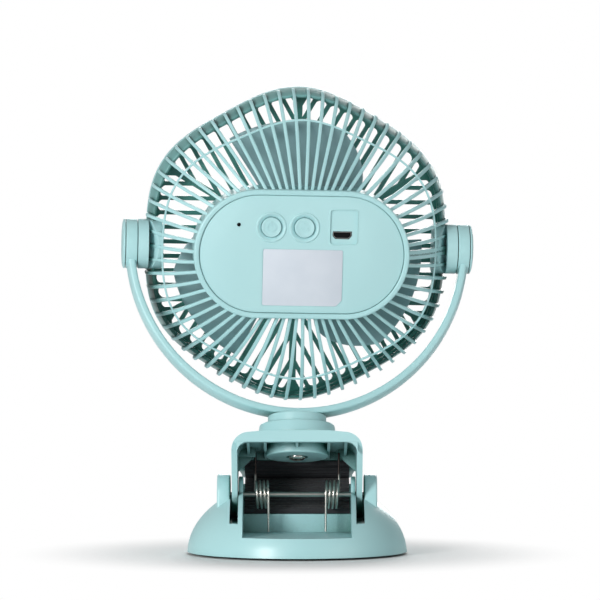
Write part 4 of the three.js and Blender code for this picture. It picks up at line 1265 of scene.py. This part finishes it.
def stadium_ring(inset, y):
    """Points round an oval with straight long sides, spaced evenly on its ends and its sides."""
    end = housing_height / 2 - inset
    straight = (housing_width - housing_height) / 2
    points = []
    for side in (1, -1):
        for i in range(end_steps + 1):
            turn = -math.pi / 2 + math.pi * i / end_steps
            x = straight + end * math.cos(turn)
            points.append((side * x, y, side * end * math.sin(turn)))
        for i in range(1, side_steps):
            points.append((side * straight * (1 - 2 * i / side_steps), y, side * end))
    return points


band = ring_round(band_section)
bulkhead_rear = 13.4
bulkhead_front = -bulkhead_rear + 2
housing_wall = 2.4
panel_face = housing_rear - 0.8
panel_back = panel_face - 2.0
ledge = -panel_back + seat_gap
ledge_inset = housing_wall + 1.2
housing_profile = rounded([
    (0, bulkhead_front), (0, -housing_rear, 0.9), (housing_wall, -housing_rear, 0.7),
    (housing_wall, ledge), (ledge_inset, ledge), (ledge_inset, -bulkhead_rear),
], closed=False, steps=6)
housing = loft([stadium_ring(inset, y) for inset, y in housing_profile])

boss_rim = hexagon_radius(0) + band_flare + 2 * seat_gap
boss_foot = 61.0
boss_end = disc_inner - seat_gap
side_boss = rounded_turn([
    (0, boss_foot), (disc_radius, boss_foot, 0.6), (disc_radius, boss_end, 0.4), (0, boss_end),
], "x")
under_ribs = [
    (50, -30), (67.1, -30), (67.1, -1), (66.6, -2.2),
    (65.4, -5.2), (63.9, -9.0), (62.2, -11.5), (50, -11.5),
]
cut(
    side_boss,
    rod(screw_bore, "x", 50, outside),
    block((50, boss_rim), (5, 20), (-20, 20)),
    prism(under_ribs, "z", -20, 20),
)
panel_plastic = moulding(
    "panel_plastic", (180, 222, 224), (175, 218, 221),
    grain=0.00022, depth=0.00001, tone=0.04, gloss=0.5,
)
# The band is the cage's mint ABS painted darker, as painted shade, and darker still as painted
# shade in its hollows.
band_plastic = moulding(
    "band_plastic", (118, 172, 170), (108, 164, 162),
    grain=0.0004, depth=0.000012, tone=0.03, gloss=0.4, hollow_shade=((30, 88, 80), 0.03, 0.95, 0.4),
)
for piece, name, finish in (
    (band, "cage_band", band_plastic),
    (ribs, "cage_rib", mint_plastic),
    (duct, "cage_duct", mint_plastic),
    (cross_ring, "cage_ring", mint_plastic),
    (housing, "cage_housing", mint_plastic),
    (mirrored(side_boss), "cage_left_boss", panel_plastic),
    (side_boss, "cage_right_boss", panel_plastic),
):
    placed(piece, name, head_frame, "head", "mint_plastic", finish, "rear_grille")


# ------------------------------------------------------------------ head: rear panel
# A fine-grained ABS plate snaps into the housing's lip. It holds the light
# pinhole, the two buttons in raised rings, the charging port and a label.

seam = 0.2
button_radius = 4.45
power_place = (-13.8, 12.0)
mode_place = (0.9, 12.0)
button_places = (power_place, mode_place)
light_place = (-28.2, 12.9)
port_place = (17.7, 8.9)
port_half = (4.0, 1.45)
plate_place = (18.2, 12.5)
plate_half = (6.0, 7.6)
plate_corner = 1.6
label_place = (0.5, -10.3)
label_half = (17.65, 12.55)
label_cut = 2.6
bezel_radius = 6.95
bezel_seat = 13.2
light_bore = 1.8
panel_spread = 0.14
behind = -40.0


def plate_edge(inset, y):
    return stadium_ring(housing_wall + seam + inset, y)


panel = loft([
    plate_edge(-panel_spread, -panel_back), plate_edge(-panel_spread, -panel_face + 0.6),
    plate_edge(0, -panel_face + 0.5), plate_edge(0, -panel_face + 0.3),
    plate_edge(0.1, -panel_face + 0.1), plate_edge(0.35, -panel_face),
])


def upright(piece, place):
    """Moves a piece to its (x, z) on the head."""
    return moved(piece, place[0], 0, place[1])


def bezel():
    """A ring whose face falls from a low crest to the button in its middle."""
    inner = button_radius + seam
    foot = -panel_face + 1
    crest = -panel_face - 0.5
    return rounded_turn([
        (inner, foot), (inner, -panel_face + 0.45, 0.15), (6.1, crest, 0.5), (6.5, crest, 0.3),
        (bezel_radius, -panel_face + 0.1), (bezel_radius, foot), (inner, foot),
    ], "y")


def port_outline(grow):
    """The port's mouth, narrower at its foot."""
    x, z = port_place
    w, h = (half + grow for half in port_half)
    return rounded([
        (x - w, z - h * 0.2, 0.3), (x - w * 0.72, z - h, 0.3),
        (x + w * 0.72, z - h, 0.3), (x + w, z - h * 0.2, 0.3),
        (x + w, z + h, 0.3), (x - w, z + h, 0.3),
    ])


def label_outline(grow):
    """The label's sheet, with one corner cut off."""
    x, z = label_place
    w, h = (half + grow for half in label_half)
    return rounded([
        (x - w, z - h, 0.8), (x + w - label_cut, z - h, 0.6), (x + w, z - h + label_cut, 0.6),
        (x + w, z + h, 0.8), (x - w, z + h, 0.8),
    ])


def port_plate(grow):
    """The raised field round the port."""
    x, z = plate_place
    w, h = (half + grow for half in plate_half)
    return rounded([
        (x - w, z - h, plate_corner), (x + w, z - h, plate_corner),
        (x + w, z + h, plate_corner), (x - w, z + h, plate_corner),
    ])


def panel_bore(diameter, place, front, steps=96):
    """A round cutter that runs in from behind the head."""
    return upright(rod(diameter, "y", behind, front, steps), place)


cut(
    panel,
    prism(label_outline(seam), "y", -panel_face - 1, -panel_face + 0.2),
    *[panel_bore(bezel_seat, place, -panel_face + 0.8) for place in button_places],
)
port_lip = softened(prism(port_plate(0.5), "y", -panel_face - 0.2, -panel_face + 1), 0.15)
joined(panel, *[upright(bezel(), place) for place in button_places], port_lip)
cut(
    panel,
    *[panel_bore(2 * (button_radius + seam), place, 0) for place in button_places],
    panel_bore(light_bore, light_place, 0, 32),
    prism(port_plate(0), "y", behind, -panel_face + 0.6),
    prism(port_outline(seat_gap), "y", behind, 0),
)
placed(
    panel, "panel_plate", head_frame, "head", "panel_plastic", panel_plastic, "rear_panel",
    sharp=25,
)

label_film = moulding(
    "label_film", (212, 220, 229), (204, 213, 223),
    grain=0.0009, depth=0.000006, tone=0.012, gloss=0.42,
)
label = softened(prism(label_outline(0), "y", -panel_face - 0.1, -panel_face + 0.1), 0.06)
placed(label, "blank_label", head_frame, "head", "label_film", label_film, "label")

smoked_guide = moulding(
    "smoked_guide", (5, 5, 7), (11, 12, 14),
    grain=0.0002, depth=0.000004, tone=0.004, gloss=0.3, dust=0, level=0.15,
)
board_rear = -22.9
collar_from = -panel_back - 0.3
collar_to = -panel_back + 0.5
light_guide = rounded_turn([
    (0, -panel_face - 0.2), (0.7, -panel_face - 0.15, 0.3), (0.8, collar_from), (1.6, collar_from),
    (1.6, collar_to), (0.8, collar_to), (0.8, board_rear), (0, board_rear),
], "y", 32)
upright(light_guide, light_place)
placed(light_guide, "light_pin", head_frame, "head", "clear_plastic", smoked_guide, "charge_light")


# ------------------------------------------------------------------ head: push buttons
# Two ABS caps with a dished face, each held behind the panel by its flange.
# One carries the usual mark for power, the other three small fan blades.

mark_low = -panel_face - 0.9
mark_high = -panel_face - 0.3
mark_width = 0.5


def raised_strip(path):
    """A thin raised line along a flat path of (x, z)."""
    left = beside(path, mark_width / 2)
    right = beside(path, -mark_width / 2)
    return prism(left + right[::-1], "y", mark_low, mark_high)


def push_button():
    """A cap with a dished face, and a flange that stays behind the panel."""
    face = -panel_face - 0.9
    flange = button_radius + 1
    flange_rear = -panel_back + 0.3
    flange_front = -panel_back + 1.1
    return rounded_turn([
        (0, face + 0.35), (button_radius - 1.6, face + 0.25, 1.0), (button_radius - 0.8, face, 0.6),
        (button_radius, face, 0.7), (button_radius, flange_rear), (flange, flange_rear),
        (flange, flange_front), (0, flange_front),
    ], "y", corner_steps=6)


power_mark = [raised_strip(arc(1.9, -235, 55, 24)), raised_strip([(0, 0.5), (0, 2.5)])]
mode_mark = []
leaf = [(x * 0.8 + 1.2, z * 0.6) for x, z in arc(1.05, -100, 100, 12)]
for leaf_turn in (90, 210, 330):
    cosine = math.cos(math.radians(leaf_turn))
    sine = math.sin(math.radians(leaf_turn))
    spun = [(cosine * x - sine * z, sine * x + cosine * z) for x, z in leaf]
    mode_mark.append(prism(spun, "y", mark_low, mark_high))
for name, place, marks in (("power", power_place, power_mark), ("mode", mode_place, mode_mark)):
    button = upright(joined(push_button(), *marks), place)
    placed(
        button, f"{name}_cap", head_frame, f"{name}_button", "panel_plastic", panel_plastic,
        f"{name}_button",
    )


# ------------------------------------------------------------------ head: charging port
# A stamped and folded steel shell with a black tongue, soldered to the board
# behind the panel's opening. A black plug fills the mouth behind the tongue's
# front, as painted shade for the dark inside of the port.

port_rear = -panel_face + 1.0
port_x, port_z = port_place
port_shell = cut(
    prism(port_outline(0), "y", port_rear, board_rear),
    prism(port_outline(-0.2), "y", port_rear - 1, port_rear + 5),
)
# The tongue, joined to a black plug that fills the mouth as painted shade for the dark inside of
# the port.
tongue_and_shade_plug = joined(
    block(
        (port_x - 1.9, port_x + 1.9),
        (port_rear + 0.5, port_rear + 3),
        (port_z + 0.1, port_z + 0.7),
    ),
    prism(port_outline(-0.22), "y", port_rear + 0.9, port_rear + 4.9),
)
black_plastic = moulding(
    "black_plastic", (9, 9, 11), (15, 16, 18),
    grain=0.0003, depth=0.000008, tone=0.003, gloss=0.6, dust=0, level=0.15,
)
placed(port_shell, "port_shell", head_frame, "head", "bright_steel", dull_steel, "charging_port")
placed(tongue_and_shade_plug, "port_tongue", head_frame, "head", "black_plastic", black_plastic, "charging_port")


# ------------------------------------------------------------------ head: board, cell and motor
# Closed in behind the panel: a green board with two key switches, a flat
# cell in silver film, and the motor, screwed to the bulkhead.

board_green = moulding(
    "board_green", (40, 104, 70), (30, 88, 58),
    grain=0.0008, depth=0.00001, tone=0.003, gloss=0.4, dust=0.1,
)
cell_foil = moulding(
    "cell_foil", (186, 192, 197), (168, 174, 180),
    grain=0.0012, depth=0.00003, tone=0.006, gloss=0.3, metallic=0.8,
)
refinished(board_green, "circuit_board")
refinished(black_plastic, "power_switch", "mode_switch")
refinished(cell_foil, "battery_cell")
refinished(dull_steel, "motor")
refinished(bright_steel, "motor_shaft")


# ------------------------------------------------------------------ impeller
# Three broad swept blades and a cup-shaped hub, moulded in one piece of
# greyish mint plastic and pressed on the motor's shaft.

hub_radius = 17.0
hub_front = 8.8
hub_rear = bulkhead_front + seat_gap + 1
hub_wall = 1.6
shaft_boss = 8.0
shaft_bore = 2.6
blade_radius = 57.0
blade_root = hub_radius - 1.2
blade_bend = 36.0
blade_width = 15.0
blade_bow = 1.6
blade_thickness = 1.5
blade_turn = 3.5
root_sweep = 80.0
sweep_loss = 28.0
twist_loss = 0.25
blade_plastic = moulding(
    "blade_plastic", (146, 178, 182), (136, 169, 173),
    grain=0.0005, depth=0.000008, tone=0.02, gloss=0.34,
)


def blade_point(radius, share, side, edge):
    """A point on a blade's face, where share runs across it and edge thins it at its tip."""
    along = max(0, (radius - blade_bend) / (blade_radius - blade_bend))
    sweep = math.radians(root_sweep - sweep_loss * along ** 1.5)
    twist = 1 - twist_loss * (radius - hub_radius) / blade_radius
    slant = blade_width * (0.5 - (share - 0.5) * twist) - blade_width / 2
    middle = slant - blade_bow * math.sin(math.pi * share)
    taper = math.sqrt(max(0.0, 1 - (2 * share - 1) ** 12))
    thickness = blade_thickness * edge * taper + 0.2
    turn = -share * sweep
    return radius * math.cos(turn), middle + side * thickness / 2, radius * math.sin(turn)


blade_span = blade_radius - 0.6 - blade_root
blade_stations = [(blade_root + blade_span * i / 24, 1.0) for i in range(25)]
blade_stations += [(blade_radius - 0.2, 0.8), (blade_radius, 0.35)]
shares = [0.5 - 0.5 * math.cos(math.pi * k / 36) for k in range(37)]
blade_rings = []
for radius, edge in blade_stations:
    ring = [blade_point(radius, share, -1, edge) for share in shares]
    ring += [blade_point(radius, share, 1, edge) for share in shares[::-1]]
    blade_rings.append(ring)

cup_radius = hub_radius - hub_wall
cup_floor = hub_front - hub_wall
impeller = rounded_turn([
    (0, cup_floor), (cup_radius, cup_floor, 1.0), (cup_radius, hub_rear),
    (hub_radius, hub_rear, 0.3), (hub_radius, hub_front, 2.2), (0, hub_front),
], "y", 128, corner_steps=8)
joined(impeller, cut(rod(shaft_boss, "y", 3.4, hub_front - 1), rod(shaft_bore, "y", 3, cup_floor)))
for i in range(3):
    blade = loft(blade_rings)
    blade.data.transform(Matrix.Rotation(-math.radians(blade_turn + 120 * i), 4, "Y"))
    joined(impeller, blade)
placed(
    impeller, "impeller_moulding", head_frame, "impeller", "blade_plastic", blade_plastic,
    "impeller",
)


# ------------------------------------------------------------------ front grille
# A flat ABS plate of round-ended slots, set in chevrons round a plain
# centre, with a rim that snaps over the band.

slot_pitch = 6.6
slot_bar = 1.9
front_rim = 13.0
rim_back = band_front + seat_gap
# The grille's mint ABS, with painted shade in dark teal where it lies closed in, deep inside the
# cage.
grille_plastic = moulding(
    "grille_plastic", (178, 222, 224), (170, 216, 219),
    grain=0.0004, depth=0.000012, tone=0.03, gloss=0.36, hollow_shade=((66, 132, 122), 0.05, 0.85, 0.4),
)
sectors = 6
slot_points = 24
tangent_30 = 0.577
tangent_60 = 1.732
grille_tree = Tree("chevron_slots", [
    "Slot Pitch", "Bar", "Edge", "Disc", "Spine", "Outline", "Swell", "Inset", "Thickness", "Front",
    "Row Count", "Last Row Cut",
])
size = grille_tree.size
rows = size("Row Count")
slot_starts = grille_tree.part("MeshLine", Count=rows * (2.0 * sectors))
slot_circle = grille_tree.part("CurvePrimitiveCircle", Resolution=slot_points, Radius=1.0)
slots = grille_tree.part("InstanceOnPoints", Points=slot_starts, Instance=slot_circle)
slots = grille_tree.part("RealizeInstances", Geometry=slots)
slot_number = grille_tree.field("CurveOfPoint", "Curve Index")
sector = (slot_number / (rows * 2.0)).math("FLOOR")
in_sector = slot_number - sector * rows * 2.0
row = (in_sector * 0.5).math("FLOOR")
side = (in_sector - row * 2.0) * 2.0 - 1.0
narrowed = (row - rows + 2.0).math("MAXIMUM", 0.0) * size("Last Row Cut") * 0.5
half = (size("Slot Pitch") - size("Bar")) * 0.5 - narrowed
turn = (grille_tree.field("SplineParameter", "Factor") + 0.5 / slot_points) * math.tau
beside_line = (row + 0.5) * size("Slot Pitch") - narrowed + half * turn.math("SINE")
spine_edge = (beside_line + size("Spine") * tangent_30) * tangent_60
disc_chord = (size("Disc") * size("Disc") - beside_line * beside_line).math("MAXIMUM", 0.0)
slot_start = spine_edge.math("MAXIMUM", disc_chord.math("SQRT") + 1.0)
end_angle = (beside_line / size("Outline")).math("ARCSINE")
reach = size("Outline") - size("Swell") * (end_angle * 6.0).math("COSINE") - size("Edge")
outer_chord = (reach * reach - beside_line * beside_line).math("SQRT")
slot_end = outer_chord - half * (turn.math("COSINE") * -1.0 + 1.0) * 0.7
outward = turn.math("COSINE").math("GREATER_THAN", 0.0)
along_slot = slot_start + (slot_end - slot_start) * outward
across_slot = beside_line * side
sector_turn = sector * (math.tau / sectors)
slot_x = along_slot * sector_turn.math("COSINE") - across_slot * sector_turn.math("SINE")
slot_z = along_slot * sector_turn.math("SINE") + across_slot * sector_turn.math("COSINE")
slot_point = grille_tree.point(slot_x, slot_z, 0.0)
slots = grille_tree.part("SetPosition", Geometry=slots, Position=slot_point)

edge = grille_tree.part("CurvePrimitiveCircle", Resolution=hexagon_steps, Radius=1.0)
edge_turn = grille_tree.field("SplineParameter", "Factor") * math.tau
edge_wave = ((edge_turn - math.pi / 2) * 6.0).math("COSINE")
edge_radius = size("Outline") + size("Swell") * edge_wave - size("Inset")
edge_point = grille_tree.point(
    edge_radius * edge_turn.math("COSINE"), edge_radius * edge_turn.math("SINE"), 0.0,
)
edge = grille_tree.part("SetPosition", Geometry=edge, Position=edge_point)
outlines = grille_tree.together(edge, slots)
sheet = grille_tree.part("FillCurve", {"mode": "TRIANGLES"}, Curve=outlines)
up = grille_tree.point(0.0, 0.0, 1.0)
lifted = grille_tree.part(
    "ExtrudeMesh", Mesh=sheet, Offset=up, Offset_Scale=size("Thickness"), Individual=False,
)
plate = grille_tree.together(lifted, grille_tree.part("FlipFaces", Mesh=sheet))
plate = grille_tree.part("MergeByDistance", Geometry=plate, Distance=0.0005)
plate = grille_tree.part(
    "Transform", Geometry=plate, Translation=grille_tree.point(0.0, size("Front"), 0.0),
    Rotation=(math.pi / 2, 0.0, 0.0),
)
grille_tree.finished(plate)
slotted_plate = grille_tree.grown(
    "slotted_plate", mint_plastic, Slot_Pitch=slot_pitch, Bar=slot_bar, Edge=3.4, Disc=hub_radius,
    Spine=3.2, Outline=outline_radius, Swell=outline_swell, Inset=band_wall + 0.4, Thickness=2.0,
    Front=front_rim - 0.6, Row_Count=5, Last_Row_Cut=2.1,
)
softened(slotted_plate, 0.35)


def rim_section(turn):
    edge = hexagon_radius(turn) + band_flare
    inner = edge - band_wall - 1.6
    return rounded([
        (inner, rim_back, 0.2), (edge, rim_back, 0.3), (edge + 0.3, front_rim - 1.5, 1.0),
        (edge - 1.2, front_rim, 0.8), (inner, front_rim, 0.6),
    ], steps=4)


def tongue_section(turn):
    """The tongue that snaps in behind the band, with a small lead-in."""
    outer = hexagon_radius(turn) + band_flare - band_wall - 1
    inner = outer - 1.2
    tip = rim_back - 2.5
    return [
        (inner, tip), (outer - 0.2, tip), (outer, tip + 0.3), (outer, rim_back + 1),
        (inner, rim_back + 1),
    ]


grille_rim = ring_round(rim_section)
grille_tongue = ring_round(tongue_section)
disc_face = front_rim - 0.1
disc_dip = front_rim - 0.4
disc_back = front_rim - 1.0
centre_disc = rounded_turn([
    (0, disc_back), (15.5, disc_back), (15.5, disc_face, 0.5), (13.5, disc_face, 0.5),
    (12.8, disc_dip, 0.5), (0, disc_dip),
], "y")
for piece, name in (
    (slotted_plate, "front_plate"),
    (grille_rim, "front_rim"),
    (grille_tongue, "front_tongue"),
    (centre_disc, "front_centre"),
):
    placed(piece, name, head_frame, "head", "mint_plastic", grille_plastic, "front_grille")
